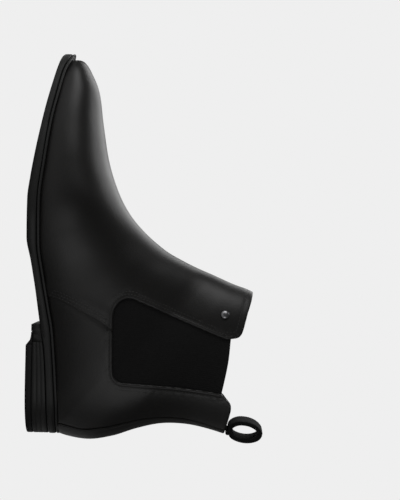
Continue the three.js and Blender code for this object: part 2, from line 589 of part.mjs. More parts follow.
const shankHalf = SHANK.width / 2;
const shankPlan = (grow) => [
  [SHANK.from - grow, -shankHalf - grow], [SHANK.to + grow, -shankHalf - grow],
  [SHANK.to + grow, shankHalf + grow], [SHANK.from - grow, shankHalf + grow],
];
const shankLayer = layer(-SHANK.top - SHANK.thickness, -SHANK.top);
pieces.shank = planPrism(shankPlan(0), 0, COLUMN.top).intersect(shankLayer);
pieces.cork_filler = withNailHoles(
  planPrism(inset(soleEdge, WELT_WIDTH + GAP), COLUMN.bottom, COLUMN.top)
    .intersect(weltLayer)
    .subtract(planPrism(shankPlan(GAP), 0, COLUMN.top)),
);

function frontSweep() {
  const steps = 6;
  return Array.from({ length: steps + 1 }, (_, i) => {
    const angle = (i / steps) * (Math.PI / 2);
    return [HEEL.front - HEEL_SWEEP.length * (1 - Math.sin(angle)), HEEL_SWEEP.height * Math.cos(angle)];
  });
}

const heelBack = HEEL.back + 5;
const heelOverlap = 2;
const topPieceSide = [
  [HEEL.front, 0], [heelBack, 0], [heelBack, HEEL.topPiece], [HEEL.front, HEEL.topPiece],
];
const sweepEnd = HEEL.front - HEEL_SWEEP.length;
const sweepSide = [
  [HEEL.front + heelOverlap, 0], [HEEL.front + heelOverlap, HEEL.topPiece], [sweepEnd, HEEL.topPiece],
  ...frontSweep(),
];
const sweep = sidePrism(sweepSide, -HEEL.shoulderHalf, HEEL.shoulderHalf);
pieces.heel_top_piece = soleColumn.intersect(sidePrism(topPieceSide).add(sweep));

const blockBottom = HEEL.topPiece + GAP;
const blockColumn = [
  [HEEL.front - heelOverlap, blockBottom], [heelBack, blockBottom],
  [heelBack, 60], [HEEL.front - heelOverlap, 60],
];
const shoulderColumn = [
  [HEEL.shoulderFront, HEEL_SWEEP.height], [sweepEnd - GAP, HEEL_SWEEP.height], [sweepEnd - GAP, blockBottom],
  [HEEL.front, blockBottom], [HEEL.front, 60], [HEEL.shoulderFront, 60],
];
const underOutsole = sidePrism(below(raised(TREAD_LINE, -GAP)));
const heelColumn = soleColumn.intersect(sidePrism(blockColumn));
const shoulder = sidePrism(shoulderColumn, -HEEL.shoulderHalf, HEEL.shoulderHalf);
pieces.heel_block = withNailHoles(heelColumn.add(shoulder).intersect(underOutsole));

nails(NAIL.radius, NAIL.bottom, NAIL.top).forEach((nail, i) => {
  pieces[`heel_nail_${i + 1}`] = nail;
});

const cavity = lastSolid(CAVITY);
const padTop = INSOLE_THICKNESS + GAP + PAD.thickness;
pieces.insole_board = withNailHoles(cavity.intersect(layer(0, INSOLE_THICKNESS)));
const padSide = [[PAD.front, -20], [60, -20], [60, 90], [PAD.front, 90]];
pieces.heel_pad = cavity.intersect(layer(INSOLE_THICKNESS + GAP, padTop)).intersect(sidePrism(padSide));

function sockLift(x) {
  const ramp = THREE.MathUtils.smoothstep(x, SOCK.rampFrom, SOCK.rampTo);
  return INSOLE_THICKNESS + GAP + ramp * (PAD.thickness + GAP);
}

function featherHeight(x) {
  const i = Math.max(1, FEATHER_LINE.findIndex(([edge]) => edge >= x));
  const [[x0, z0], [x1, z1]] = [FEATHER_LINE[i - 1], FEATHER_LINE[i]];
  return z0 + ((z1 - z0) * (x - x0)) / (x1 - x0);
}

function sockUnderside() {
  const ramp = [SOCK.rampFrom, (SOCK.rampFrom + SOCK.rampTo) / 2, SOCK.rampTo];
  const stations = [...FEATHER_LINE.map(([x]) => x), ...ramp];
  return stations.sort((a, b) => a - b).map((x) => [x, featherHeight(x) + sockLift(x)]);
}
pieces.sock_liner = cavity.intersect(sidePrism(band(sockUnderside(), 0, SOCK.thickness)));

// Assembly ------------------------------------------------------------------------------------------------

const LOOKS = {
  blackLeather: { color: 0x1c1b19, roughness: 0.42, metalness: 0 },
  elastic: { color: 0x0e0e0e, roughness: 0.9, metalness: 0 },
  blackSole: { color: 0x20211f, roughness: 0.5, metalness: 0 },
  lining: { color: 0x0a0a0a, roughness: 0.8, metalness: 0 },
  board: { color: 0x8a6a48, roughness: 0.9, metalness: 0 },
  cork: { color: 0xb08850, roughness: 1, metalness: 0 },
  steel: { color: 0x9a9c9e, roughness: 0.35, metalness: 1 },
  darkMetal: { color: 0x55565a, roughness: 0.3, metalness: 1 },
  tape: { color: 0x0d0d0f, roughness: 0.95, metalness: 0 },
  foam: { color: 0x2a2a2c, roughness: 1, metalness: 0 },
  stiffener: { color: 0xc8b89a, roughness: 0.9, metalness: 0 },
};

const FINISH = {
  blackLeather: ['vamp', 'quarter_lateral', 'quarter_medial', 'back_strip', 'pull_tab'],
  elastic: ['gore_lateral'],
  blackSole: ['outsole', 'welt', 'heel_block', 'heel_top_piece'],
  lining: ['lining_front', 'lining_rear', 'sock_liner', 'zip_guard'],
  board: ['insole_board'],
  cork: ['cork_filler'],
  steel: ['shank', 'stud', 'stud_washer', 'pull_ring'],
  darkMetal: ['zip_slider', 'zip_teeth_front', 'zip_teeth_rear', 'zip_bottom_stop'],
  tape: ['zip_tape_front', 'zip_tape_rear', 'pull_loop', 'pull_loop_anchor'],
  foam: ['heel_pad'],
  stiffener: ['toe_puff', 'heel_counter'],
};

function lookOf(name) {
  const found = Object.keys(FINISH).find((finish) => FINISH[finish].includes(name));
  if (found) return found;
  return name.startsWith('heel_nail') ? 'steel' : 'darkMetal';
}

const boot = new THREE.Group();
for (const [name, solid] of Object.entries(pieces)) {
  const mesh = new THREE.Mesh(toGeometry(solid), new THREE.MeshStandardMaterial(LOOKS[lookOf(name)]));
  mesh.name = name;
  boot.add(mesh);
}

export default boot;
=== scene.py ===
"""A left chelsea ankle boot around its CAD frame: leather panels, gore, zip, stitched welt, heel, pull loop.

Shapes are worked out in millimetres in the frame of the CAD model and scaled to metres when a mesh is made.
"""
import json
import math

import bmesh
import bpy
import numpy as np
from mathutils import Matrix, Vector, kdtree
from mathutils.geometry import delaunay_2d_cdt


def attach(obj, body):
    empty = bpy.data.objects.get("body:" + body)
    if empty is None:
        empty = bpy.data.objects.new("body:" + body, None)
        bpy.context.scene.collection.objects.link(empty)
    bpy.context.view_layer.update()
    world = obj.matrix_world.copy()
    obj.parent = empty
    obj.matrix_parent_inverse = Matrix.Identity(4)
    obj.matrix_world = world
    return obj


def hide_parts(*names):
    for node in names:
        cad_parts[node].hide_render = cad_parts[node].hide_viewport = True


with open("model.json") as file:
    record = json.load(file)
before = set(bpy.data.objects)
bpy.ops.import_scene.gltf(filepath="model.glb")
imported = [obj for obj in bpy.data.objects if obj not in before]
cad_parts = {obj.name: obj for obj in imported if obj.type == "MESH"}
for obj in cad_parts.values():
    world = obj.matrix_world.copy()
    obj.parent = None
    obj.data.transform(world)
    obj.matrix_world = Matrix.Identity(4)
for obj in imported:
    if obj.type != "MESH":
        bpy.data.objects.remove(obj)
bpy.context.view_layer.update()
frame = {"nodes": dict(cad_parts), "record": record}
MM = 0.001

# Camera -----

LENS_MM = 135.0
SENSOR_MM = 36.0
VIEW_DISTANCE = 1.494
VIEW_CENTRE = (-0.1107, 0.1344)
VIEW_ROLL = 0.0227


def make_camera():
    data = bpy.data.cameras.new("camera")
    data.lens = LENS_MM
    data.sensor_width = SENSOR_MM
    data.clip_end = 20.0
    camera = bpy.data.objects.new("camera", data)
    bpy.context.scene.collection.objects.link(camera)
    c, s = math.cos(VIEW_ROLL), math.sin(VIEW_ROLL)
    right, up, back = Vector((-s, 0, c)), Vector((-c, 0, -s)), Vector((0, -1, 0))
    turn = Matrix((right, up, back)).transposed().to_4x4()
    place = Matrix.Translation((VIEW_CENTRE[0], -VIEW_DISTANCE, VIEW_CENTRE[1]))
    camera.matrix_world = place @ turn
    bpy.context.scene.camera = camera


make_camera()

# The last -----
# Sections from the toe to the topline, as in the CAD source. The columns are the back point's x and z, the
# front point's x and z, the middle line's y, the half width at the feather edge, the greatest half widths on
# the lateral and the medial side, and the level of those up the section.

LAST = np.array([
    (-260.0, 27.5, -260.9, 33.5, 11.0, 0.0, 0.0, 0.0, 0.30),
    (-257.5, 26.0, -258.8, 39.0, 11.0, 13.0, 13.2, 13.2, 0.30),
    (-249.0, 23.2, -250.6, 44.6, 11.0, 20.6, 21.2, 21.0, 0.30),
    (-234.0, 20.0, -234.3, 51.3, 10.0, 27.5, 28.6, 28.0, 0.28),
    (-209.5, 15.1, -208.0, 55.1, 8.2, 35.4, 37.6, 36.0, 0.26),
    (-178.0, 11.2, -180.0, 60.3, 5.0, 42.0, 44.8, 43.0, 0.25),
    (-147.0, 8.2, -155.0, 68.7, 0.7, 44.2, 47.2, 45.2, 0.25),
    (-116.0, 8.4, -137.0, 78.7, -1.2, 40.4, 43.6, 42.0, 0.28),
    (-85.0, 12.4, -122.0, 92.0, -1.2, 33.0, 40.0, 39.5, 0.34),
    (-55.0, 17.6, -109.5, 107.3, -0.6, 28.8, 39.0, 39.0, 0.40),
    (-25.0, 21.3, -102.0, 120.8, 0.0, 28.9, 38.8, 38.8, 0.42),
    (8.0, 23.6, -97.0, 131.0, 0.0, 28.8, 38.3, 38.3, 0.42),
    (28.0, 23.8, -94.0, 138.0, 0.0, 18.8, 37.6, 37.6, 0.41),
    (36.0, 24.6, -91.5, 144.3, 0.0, 0.0, 36.9, 36.9, 0.41),
    (40.9, 47.0, -89.0, 150.3, 0.0, 0.0, 36.1, 36.1, 0.42),
    (38.0, 67.7, -86.5, 156.2, 0.0, 0.0, 35.1, 35.1, 0.43),
    (31.7, 86.6, -84.5, 161.0, 0.0, 0.0, 33.7, 33.7, 0.45),
    (27.3, 105.8, -82.5, 166.5, 0.0, 0.0, 32.3, 32.3, 0.46),
    (27.2, 124.5, -80.5, 172.5, 0.0, 0.0, 31.2, 31.2, 0.47),
    (30.0, 140.8, -78.0, 178.0, 0.0, 0.0, 30.6, 30.6, 0.47),
    (35.5, 160.0, -75.5, 183.5, 0.0, 0.0, 30.3, 30.3, 0.47),
    (40.5, 174.0, -73.0, 190.0, 0.0, 0.0, 30.2, 30.2, 0.47),
])
HEEL_POINT = 13
LAST_TOP = 20.6
ANKLE_SECTION, TOP_REACH = 15.0, LAST_TOP + 0.35
LOWER_ROUNDNESS = 2.4
UPPER_ROUNDNESS = 2.1
SQUARED = (5, 6, 7)
LAST_VALUES = LAST.copy()
LAST_VALUES[:, SQUARED] **= 2

LATERAL, MEDIAL = -1, 1

FEATHER_LINE = [
    (-270, 34), (-259.5, 29.6), (-250.7, 25.8), (-234, 22), (-209.5, 17.1), (-178, 13.2), (-146.5, 10.3),
    (-115.7, 10.4), (-84.7, 14.4), (-61.2, 18.5), (-45.6, 21.3), (-29.9, 22.8), (-6.4, 24.7), (17, 26),
    (45, 26.3),
]
TREAD_LINE = [
    (-270, 25), (-262.7, 21.5), (-252, 18.2), (-242, 15.7), (-222.3, 11.2), (-203, 7.6), (-184, 4.4),
    (-165, 1.7), (-148, 0), (-118, 0), (-100, 3.2), (-81.4, 6.2), (-53.3, 10.2), (-28, 14.3),
    (0, 16.2), (45, 17.6),
]


def smooth_line(points):
    """A function of x through the points, with no overshoot between them."""
    x, z = (np.array(c, float) for c in zip(*points))
    step, slope = np.diff(x), np.diff(z) / np.diff(x)
    tangent = np.zeros(len(x))
    same = slope[:-1] * slope[1:] > 0
    w1, w2 = 2 * step[1:] + step[:-1], step[1:] + 2 * step[:-1]
    safe = np.where(same, slope[:-1] * slope[1:], 1.0)
    tangent[1:-1] = np.where(same, (w1 + w2) * safe / (w1 * slope[1:] + w2 * slope[:-1] + ~same), 0)
    tangent[0], tangent[-1] = slope[0], slope[-1]

    def height(at):
        at = np.clip(at, x[0], x[-1])
        i = np.clip(np.searchsorted(x, at) - 1, 0, len(x) - 2)
        h = x[i + 1] - x[i]
        f = (at - x[i]) / h
        cubic = z[i] * (1 + 2 * f) * (1 - f) ** 2 + tangent[i] * h * f * (1 - f) ** 2
        return cubic + z[i + 1] * f * f * (3 - 2 * f) + tangent[i + 1] * h * f * f * (f - 1)

    return height


feather_z = smooth_line(FEATHER_LINE)
tread_z = smooth_line(TREAD_LINE)


def catmull_rom(a, b, c, d, f):
    linear = (c - a) * f
    square = (2 * a - 5 * b + 4 * c - d) * f**2
    return (2 * b + linear + square + (3 * b - a - 3 * c + d) * f**3) / 2


def section(t):
    """The columns of LAST at section numbers t."""
    t = np.asarray(t, float)
    i = np.clip(np.floor(t).astype(int), 0, len(LAST) - 2)
    rows = [LAST_VALUES[np.clip(i + k, 0, len(LAST) - 1)] for k in (-1, 0, 1, 2)]
    values = catmull_rom(*rows, (t - i)[..., None])
    values[..., SQUARED] = np.sqrt(np.maximum(values[..., SQUARED], 0))
    values[..., 5] = np.where(t >= HEEL_POINT, 0, values[..., 5])
    return values


def half_width(cut, q, side):
    widest = np.where(side < 0, cut[..., 6], cut[..., 7])
    foot, level = cut[..., 5], cut[..., 8]
    n = LOWER_ROUNDNESS
    u = np.clip((level - q) / level, 0, 1)
    lower = np.maximum(0, widest**n - (widest**n - foot**n) * u**n) ** (1 / n)
    v = np.clip((q - level) / (1 - level), 0, 1)
    upper = widest * np.maximum(0, 1 - v**UPPER_ROUNDNESS) ** (1 / UPPER_ROUNDNESS)
    return np.where(q < level, lower, upper)


def surface(t, s):
    """The last's surface: s is -1 at the lateral feather edge, 0 on the ridge and 1 at the medial one.

    Past the heel point the sections are closed, and s beyond 1 runs on around the back.
    """
    t, s = np.broadcast_arrays(np.asarray(t, float), np.asarray(s, float))
    s = np.where(s > 1, s - 2, np.where(s < -1, s + 2, s))
    cut = section(np.clip(t, 0, len(LAST) - 1))
    q = (1 - np.cos(np.pi * (1 - np.abs(s)))) / 2
    x = cut[..., 0] + (cut[..., 2] - cut[..., 0]) * q
    z = cut[..., 1] + (cut[..., 3] - cut[..., 1]) * q
    y = cut[..., 4] + np.sign(s) * half_width(cut, q, s)
    return np.stack([x, y, z], -1)


# At the tip of the toe the sections shrink to a line, and one direction stands in for the turning normals.
TOE_BLEND, TOE_OUT = 0.8, (-0.96, 0.0, 0.28)


def normals(t, s, step=0.012):
    t, s = np.broadcast_arrays(np.asarray(t, float), np.asarray(s, float))
    s = np.where(s > 1, s - 2, np.where(s < -1, s + 2, s))
    closed = t >= HEEL_POINT
    s_high = np.where(closed, s + step, np.minimum(s + step, 1))
    s_low = np.where(closed, s - step, np.maximum(s - step, -1))
    across = surface(t, s_high) - surface(t, s_low)
    along = surface(t + step, s) - surface(np.maximum(t - step, 0.004), s)
    out = np.cross(along, across)
    out /= np.maximum(np.linalg.norm(out, axis=-1, keepdims=True), 1e-9)
    toe = ease(1 - t / TOE_BLEND)[..., None]
    out = out * (1 - toe) + np.array(TOE_OUT) * toe
    return out / np.maximum(np.linalg.norm(out, axis=-1, keepdims=True), 1e-9)


def halved(low, high, beyond, steps=36):
    """Bisection between arrays: the low end moves up to the middle wherever the target is beyond it."""
    for _ in range(steps):
        middle = (low + high) / 2
        up = beyond(middle)
        low, high = np.where(up, middle, low), np.where(up, high, middle)
    return low


def places(points, side):
    """The (t, s) of side-view places [x, z] on one side of the last."""
    points = np.asarray(points, float)
    low, high = np.full(len(points), 0.02), np.full(len(points), LAST_TOP + 0.3)

    def past(t):
        cut = section(t)
        dx, dz = cut[:, 2] - cut[:, 0], cut[:, 3] - cut[:, 1]
        return dx * (points[:, 1] - cut[:, 1]) - dz * (points[:, 0] - cut[:, 0]) > 0

    start = past(low)
    low = halved(low, high, lambda t: past(t) == start, 40)
    cut = section(low)
    length = np.hypot(cut[:, 2] - cut[:, 0], cut[:, 3] - cut[:, 1])
    q = np.clip(np.hypot(points[:, 0] - cut[:, 0], points[:, 1] - cut[:, 1]) / length, 0, 1)
    return np.stack([low, side * (1 - np.arccos(1 - 2 * q) / np.pi)], -1)


# A flat map of the surface, in millimetres: u along the sections and v across them from the ridge.
MAP_T = np.linspace(0, LAST_TOP + 0.4, 421)
_cross = np.linspace(0, 1, 40)
_half = [surface(MAP_T[:, None], side * _cross[None, :]) for side in (LATERAL, MEDIAL)]
MAP_U = np.concatenate([[0], np.cumsum(np.linalg.norm(np.diff(_half[0][:, 20], axis=0), axis=1))])
MAP_GIRTH = sum(np.linalg.norm(np.diff(h, axis=1), axis=2).sum(1) for h in _half) / 2
# The girth drops suddenly where the sections leave the sole, so it is evened out along the map.
GIRTH_SPREAD = 30
_padded = np.pad(MAP_GIRTH, GIRTH_SPREAD, mode="edge")
MAP_GIRTH = np.convolve(_padded, np.full(2 * GIRTH_SPREAD + 1, 1 / (2 * GIRTH_SPREAD + 1)), mode="valid")


def to_map(ts):
    return np.stack([np.interp(ts[:, 0], MAP_T, MAP_U), ts[:, 1] * np.interp(ts[:, 0], MAP_T, MAP_GIRTH)], -1)


def from_map(uv):
    t = np.interp(uv[:, 0], MAP_U, MAP_T)
    return np.stack([t, uv[:, 1] / np.interp(t, MAP_T, MAP_GIRTH)], -1)


def map_surface(uv):
    return surface(*from_map(uv).T)


# Curves -----


def curve(points, spacing=1.0, closed=False):
    """A smooth dense polyline through the points."""
    p = np.asarray(points, float)
    ends = (p[-1:], p[:2]) if closed else (2 * p[:1] - p[1:2], 2 * p[-1:] - p[-2:-1])
    p = np.concatenate([ends[0], p, ends[1]])
    out = []
    for i in range(1, len(p) - 2):
        count = max(2, int(np.linalg.norm(p[i + 1] - p[i]) / spacing * 2))
        f = np.linspace(0, 1, count, endpoint=False)[:, None]
        out.append(catmull_rom(p[i - 1], p[i], p[i + 1], p[i + 2], f))
    if not closed:
        out.append(p[-2:-1])
    return even(np.concatenate(out), spacing, closed)


def even(points, spacing, closed=False):
    """The polyline with points at an even spacing."""
    p = np.concatenate([points, points[:1]]) if closed else points
    length = np.concatenate([[0], np.cumsum(np.linalg.norm(np.diff(p, axis=0), axis=1))])
    count = max(2, int(round(length[-1] / spacing)) + 1)
    at = np.linspace(0, length[-1], count)
    out = np.stack([np.interp(at, length, p[:, k]) for k in range(p.shape[1])], -1)
    return out[:-1] if closed else out


def crossing(a, b):
    """The first place where polyline a crosses polyline b: the index along a, and the point."""
    for i in range(len(a) - 1):
        d = a[i + 1] - a[i]
        e = b[1:] - b[:-1]
        w = b[:-1] - a[i]
        denominator = d[0] * e[:, 1] - d[1] * e[:, 0]
        denominator = np.where(np.abs(denominator) < 1e-12, 1e-12, denominator)
        f = (w[:, 0] * e[:, 1] - w[:, 1] * e[:, 0]) / denominator
        g = (w[:, 0] * d[1] - w[:, 1] * d[0]) / denominator
        hit = np.where((f >= 0) & (f <= 1) & (g >= 0) & (g <= 1))[0]
        if len(hit):
            return i, a[i] + d * f[hit[0]]
    raise ValueError("the curves don't cross")


def until(a, b):
    i, point = crossing(a, b)
    return np.concatenate([a[: i + 1], [point]])


def after(a, b):
    i, point = crossing(a, b)
    return np.concatenate([[point], a[i + 1 :]])


def shifted(line, distance):
    """A side-view polyline moved sideways, to its left where distance is positive."""
    tangent = np.gradient(line, axis=0)
    tangent /= np.linalg.norm(tangent, axis=1)[:, None]
    return line + np.stack([-tangent[:, 1], tangent[:, 0]], -1) * distance


def feather_s(t, side, rise=0.0):
    """Where the feather plane cuts the sections t."""
    cut = section(t)

    def under(q):
        x = cut[:, 0] + (cut[:, 2] - cut[:, 0]) * q
        z = cut[:, 1] + (cut[:, 3] - cut[:, 1]) * q
        return z < feather_z(x) + rise

    q = halved(np.zeros(len(t)), np.full(len(t), 0.55), under)
    return side * (1 - np.arccos(1 - 2 * q) / np.pi)


def height_t(s, low, high, line_z):
    """Where the lines of constant s rise past the height line_z(x), between two sections."""
    def under(t):
        point = surface(t, s)
        return point[:, 2] < line_z(point[:, 0])

    return halved(np.full(len(s), low), np.full(len(s), high), under)


def top_t(s, line):
    """Where the topline crosses the lines of constant s."""
    return height_t(s, ANKLE_SECTION, TOP_REACH, lambda x: np.interp(x, *line.T))


def bottom_t(s):
    """Where the feather plane crosses lines of constant s around the heel."""
    return height_t(s, 11.0, 14.5, lambda x: feather_z(x) + FEATHER_RISE)


# Panel lines in side view, as in the CAD source.
SIDE_SEAM = curve([
    (-72.5, 5), (-71.2, 18.2), (-68.4, 27), (-61.3, 42), (-53.5, 57.6), (-45.9, 68.3), (-40, 76),
])
WINDOW = curve([
    (-41.6, 164), (-41.7, 160.5), (-42.1, 154.4), (-54.6, 123.3), (-69.2, 88.6), (-71.8, 80.8), (-69.9, 74.7),
    (-65.7, 70.5), (-59, 68.4), (-53.1, 68), (-33, 68.3), (-14.1, 68.9), (-9, 70.8), (-6.1, 74.5),
    (-5.6, 79.1), (-2.8, 117.7), (0.2, 143.4), (1.8, 153.6), (2.2, 162),
])


def cut_at(line, *points):
    """The polyline in parts, cut at its places nearest to the points."""
    ends = [0] + [int(np.argmin(np.linalg.norm(line - p, axis=1))) for p in points] + [len(line) - 1]
    return [line[a : b + 1] for a, b in zip(ends, ends[1:])]


WINDOW_FRONT, WINDOW_FOOT, WINDOW_REAR = cut_at(WINDOW, (-59, 68.4), (-9, 70.8))
GORE_HEM = curve([(-60, 162.3), (-41.7, 160.3), (-22.1, 158.4), (1.9, 153.7), (20, 149.5)])
FLAP_TOP = curve([
    (-110, 182), (-76.8, 177.3), (-61.3, 173.1), (-50.3, 170.3), (-45.2, 168.4), (-42.7, 165.6),
    (-41.7, 160.3),
])
REAR_TOP = curve([
    (1.0, 153.0), (3.2, 154.6), (6.4, 157.7), (10.7, 160.7), (15, 161.2), (19.3, 160.4), (31.6, 157.3),
    (60, 150),
])
INNER_TOP = curve([
    (-110, 182), (-76.8, 177.3), (-61.3, 172.6), (-51, 167.5), (-43, 161.5), (-34, 158.2), (-14, 155.2),
    (1.9, 152.6), (7, 156), (11.5, 159), (16, 159.8), (31.6, 157.3), (60, 150),
])
BACK_STRIP = curve([
    (26.5, 5), (28, 26), (32.2, 45), (31, 58), (29.3, 67.7), (24.3, 86.6), (21.8, 105.8), (22.6, 124.5),
    (26.2, 140.8), (31, 156), (34, 175),
])
ZIP_TOP, ZIP_BOTTOM = np.array([-15.6, 155.5]), np.array([-36.0, 62.0])
ZIP_SLOT = 4.6

# Meshes -----


def new_mesh(name, points, faces, smooth_angle=40, body="boot"):
    """A mesh object from points in millimetres, riding on a CAD body."""
    mesh = bpy.data.meshes.new(name)
    corners = [tuple(p * MM) for p in np.asarray(points, float)]
    mesh.from_pydata(corners, [], [tuple(map(int, f)) for f in faces])
    mesh.validate()
    obj = bpy.data.objects.new(name, mesh)
    bpy.context.scene.collection.objects.link(obj)
    tidy(obj, smooth_angle)
    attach(obj, body)
    return obj


def tidy(obj, smooth_angle):
    """Weld, face outwards and shade smooth but for edges sharper than smooth_angle degrees."""
    work = bmesh.new()
    work.from_mesh(obj.data)
    bmesh.ops.remove_doubles(work, verts=work.verts, dist=2e-6)
    bmesh.ops.dissolve_degenerate(work, edges=work.edges, dist=1e-7)
    bmesh.ops.recalc_face_normals(work, faces=work.faces)
    work.to_mesh(obj.data)
    work.free()
    obj.data.shade_smooth()
    obj.data.set_sharp_from_angle(angle=math.radians(smooth_angle))


def tree_of(points):
    tree = kdtree.KDTree(len(points))
    for i, p in enumerate(points):
        tree.insert(Vector(p), i)
    tree.balance()
    return tree


def distances(tree, points):
    return np.array([tree.find(Vector(p))[2] for p in points])


def rings_to_faces(rings, count, closed=False):
    """Quads between rings of points, and from the last ring back to the first where closed."""
    faces = []
    for r in range(rings if closed else rings - 1):
        low, high = r * count, (r + 1) % rings * count
        for k in range(count):
            turn = (k + 1) % count
            faces.append((low + k, low + turn, high + turn, high + k))
    return faces


def drum_faces(rings, count):
    """Quads between rings of points, and a flat face on each end."""
    last = (rings - 1) * count
    ends = [tuple(reversed(range(count))), tuple(last + k for k in range(count))]
    return rings_to_faces(rings, count) + ends


def turned(profile, steps):
    """Rings around an axis from (radius, height) pairs, as two places across the axis and one along it."""
    angle = np.arange(steps) * 2 * np.pi / steps
    across = np.stack([np.cos(angle), np.sin(angle)], -1)
    return np.concatenate([np.column_stack([r * across, np.full(steps, h)]) for r, h in profile])


def moved_faces(faces, start):
    return [tuple(v + start for v in f) for f in faces]


class Panel:
    """A piece of sheet on the last's surface inside a closed outline made of named edges."""

    def __init__(self, edges, spacing, strips):
        self.edges = []
        for kind, ts in edges:
            self.edges.append((kind, from_map(even(to_map(np.asarray(ts)), 1.1))))
        self.spacing = spacing
        self.strips = strips
        self.loop, self.kinds = self._loop()
        self._triangulate()

    def _loop(self):
        points, kinds = [], []
        for kind, ts in self.edges:
            points.append(ts[:-1])
            kinds += [kind] * (len(ts) - 1)
        return np.concatenate(points), np.array(kinds)

    def inward(self, index, distance):
        """Loop points moved into the panel by a distance over the surface, as map points."""
        uv = to_map(self.loop)
        area = 0.5 * np.sum(uv[:, 0] * np.roll(uv[:, 1], -1) - uv[:, 1] * np.roll(uv[:, 0], -1))
        tangent = np.roll(uv, -1, 0) - np.roll(uv, 1, 0)
        left = np.stack([-tangent[:, 1], tangent[:, 0]], -1) * np.sign(area)
        uv, tangent, left = uv[index], tangent[index], left[index]
        du = np.array([0.3, 0])
        dv = np.array([0, 0.3])
        pu = map_surface(uv + du) - map_surface(uv - du)
        pv = map_surface(uv + dv) - map_surface(uv - dv)
        pu, pv = pu / 0.6, pv / 0.6
        e, f, g = (pu * pu).sum(1), (pu * pv).sum(1), (pv * pv).sum(1)
        # The map direction whose image is square to the edge: it has no metric product with the tangent.
        a = e * tangent[:, 0] + f * tangent[:, 1]
        b = f * tangent[:, 0] + g * tangent[:, 1]
        direction = np.stack([-b, a], -1)
        direction *= np.sign((direction * left).sum(1))[:, None]
        x, y = direction.T
        length = np.sqrt(np.maximum(e * x * x + 2 * f * x * y + g * y * y, 1e-9))
        return uv + direction / length[:, None] * distance

    def _triangulate(self):
        loop_uv = to_map(self.loop)
        edge_points = surface(*self.loop.T)
        everything = tree_of(edge_points)
        extra = []
        for kind, offsets in self.strips.items():
            index = np.where(self.kinds == kind)[0]
            for distance in offsets:
                moved = self.inward(index, distance)
                keep = distances(everything, map_surface(moved)) > 0.9 * distance - 0.02
                extra.append(moved[keep])
        strip_points = np.concatenate(extra)
        low, high = loop_uv.min(0), loop_uv.max(0)
        u = np.arange(low[0] + 0.5, high[0], self.spacing)
        v = np.arange(low[1] + 0.5, high[1], self.spacing)
        lattice = np.stack(np.meshgrid(u, v, indexing="ij"), -1).reshape(-1, 2)
        lattice = lattice[inside(loop_uv, lattice)]
        reach = distances(everything, map_surface(lattice))
        keep = reach > 0.55 * self.spacing
        for kind, offsets in self.strips.items():
            own = tree_of(edge_points[self.kinds == kind])
            keep &= distances(own, map_surface(lattice)) > offsets[-1] + 0.5 * self.spacing
        lattice = lattice[keep]
        strip_points = strip_points[inside(loop_uv, strip_points)]
        points = np.concatenate([loop_uv, strip_points, lattice])
        result = delaunay_2d_cdt([Vector(p) for p in points], [], [list(range(len(loop_uv)))], 1, 1e-5)
        self.uv = np.array([tuple(p) for p in result[0]])
        self.faces = np.array(result[2])
        self.ts = from_map(self.uv)
        self.base = surface(*self.ts.T)
        self.out = normals(*self.ts.T)

    def distance(self, *kinds):
        """The distance of every vertex to the edges of these kinds."""
        chosen = self.loop[np.isin(self.kinds, kinds)]
        if not len(chosen):
            return np.full(len(self.ts), 1e3)
        segments = [ts for kind, ts in self.edges if kind in kinds]
        dense = [from_map(even(to_map(ts), 0.35)) for ts in segments]
        points = np.concatenate([surface(*d.T) for d in dense])
        return distances(tree_of(points), self.base)

    def solid(self, name, outer, inner, welded=None):
        """A closed mesh between two heights over the surface. Edges of the kind `welded` get no wall."""
        top = self.base + self.out * np.asarray(outer)[:, None]
        bottom = self.base + self.out * np.broadcast_to(inner, len(self.base))[:, None]
        count = len(top)
        a, b, c = (top[self.faces[:, k]] for k in range(3))
        facing = (np.cross(b - a, c - a) * self.out[self.faces[:, 0]]).sum(1)
        faces = np.where(facing[:, None] >= 0, self.faces, self.faces[:, ::-1])
        edges = {}
        for f in faces:
            for p, q in ((f[0], f[1]), (f[1], f[2]), (f[2], f[0])):
                edges[(p, q)] = edges.get((p, q), 0) + 1
        skip = np.zeros(count, bool)
        if welded is not None:
            ends = self.loop[self.kinds == welded]
            skip = distances(tree_of([(*p, 0) for p in to_map(ends)]), [(*p, 0) for p in self.uv]) < 0.6
            skip &= self.ts[:, 0] < 0.01
        walls = [(q, p, p + count, q + count) for p, q in edges
                 if (q, p) not in edges and not (skip[p] and skip[q])]
        every = [tuple(f) for f in faces] + [tuple(f[::-1] + count) for f in faces] + walls
        return new_mesh(name, np.concatenate([top, bottom]), every)


def inside(loop, points):
    """Which points lie inside a closed polygon."""
    x, y = points[:, 0], points[:, 1]
    result = np.zeros(len(points), bool)
    for (x0, y0), (x1, y1) in zip(loop, np.roll(loop, -1, 0)):
        if y0 == y1:
            continue
        crosses = (y0 > y) != (y1 > y)
        result ^= crosses & (x < (x1 - x0) * (y - y0) / (y1 - y0) + x0)
    return result


def roll(distance, radius):
    """How far a sheet's edge rounds down at a distance from it."""
    d = np.clip(distance, 0, radius)
    return radius - np.sqrt(np.maximum(radius**2 - (radius - d) ** 2, 0))


def bump(distance, at, width):
    return np.exp(-(((distance - at) / width) ** 2))


def ease(x):
    x = np.clip(x, 0, 1)
    return x * x * (3 - 2 * x)


def waviness(points):
    """Soft unevenness of lasted leather, in millimetres."""
    x, y, z = points.T / 10
    broad = np.sin(0.9 * x + 0.5 * z + 1.3) * np.sin(0.7 * z - 0.4 * y + 0.5)
    fine = np.sin(2.1 * x - 1.2 * z + 0.7 * y) * np.sin(1.7 * z + 1.1 * y + 2.0)
    return 0.10 * broad + 0.03 * fine


# Leather panels -----

FEATHER_RISE = 0.1
INNER = -1.2
LAP, UNDERLAP = 0.5, -0.75
TUCK = 5.0
FOLD = 1.0
GORE_FOLD = 0.8
TOE_START = 0.0

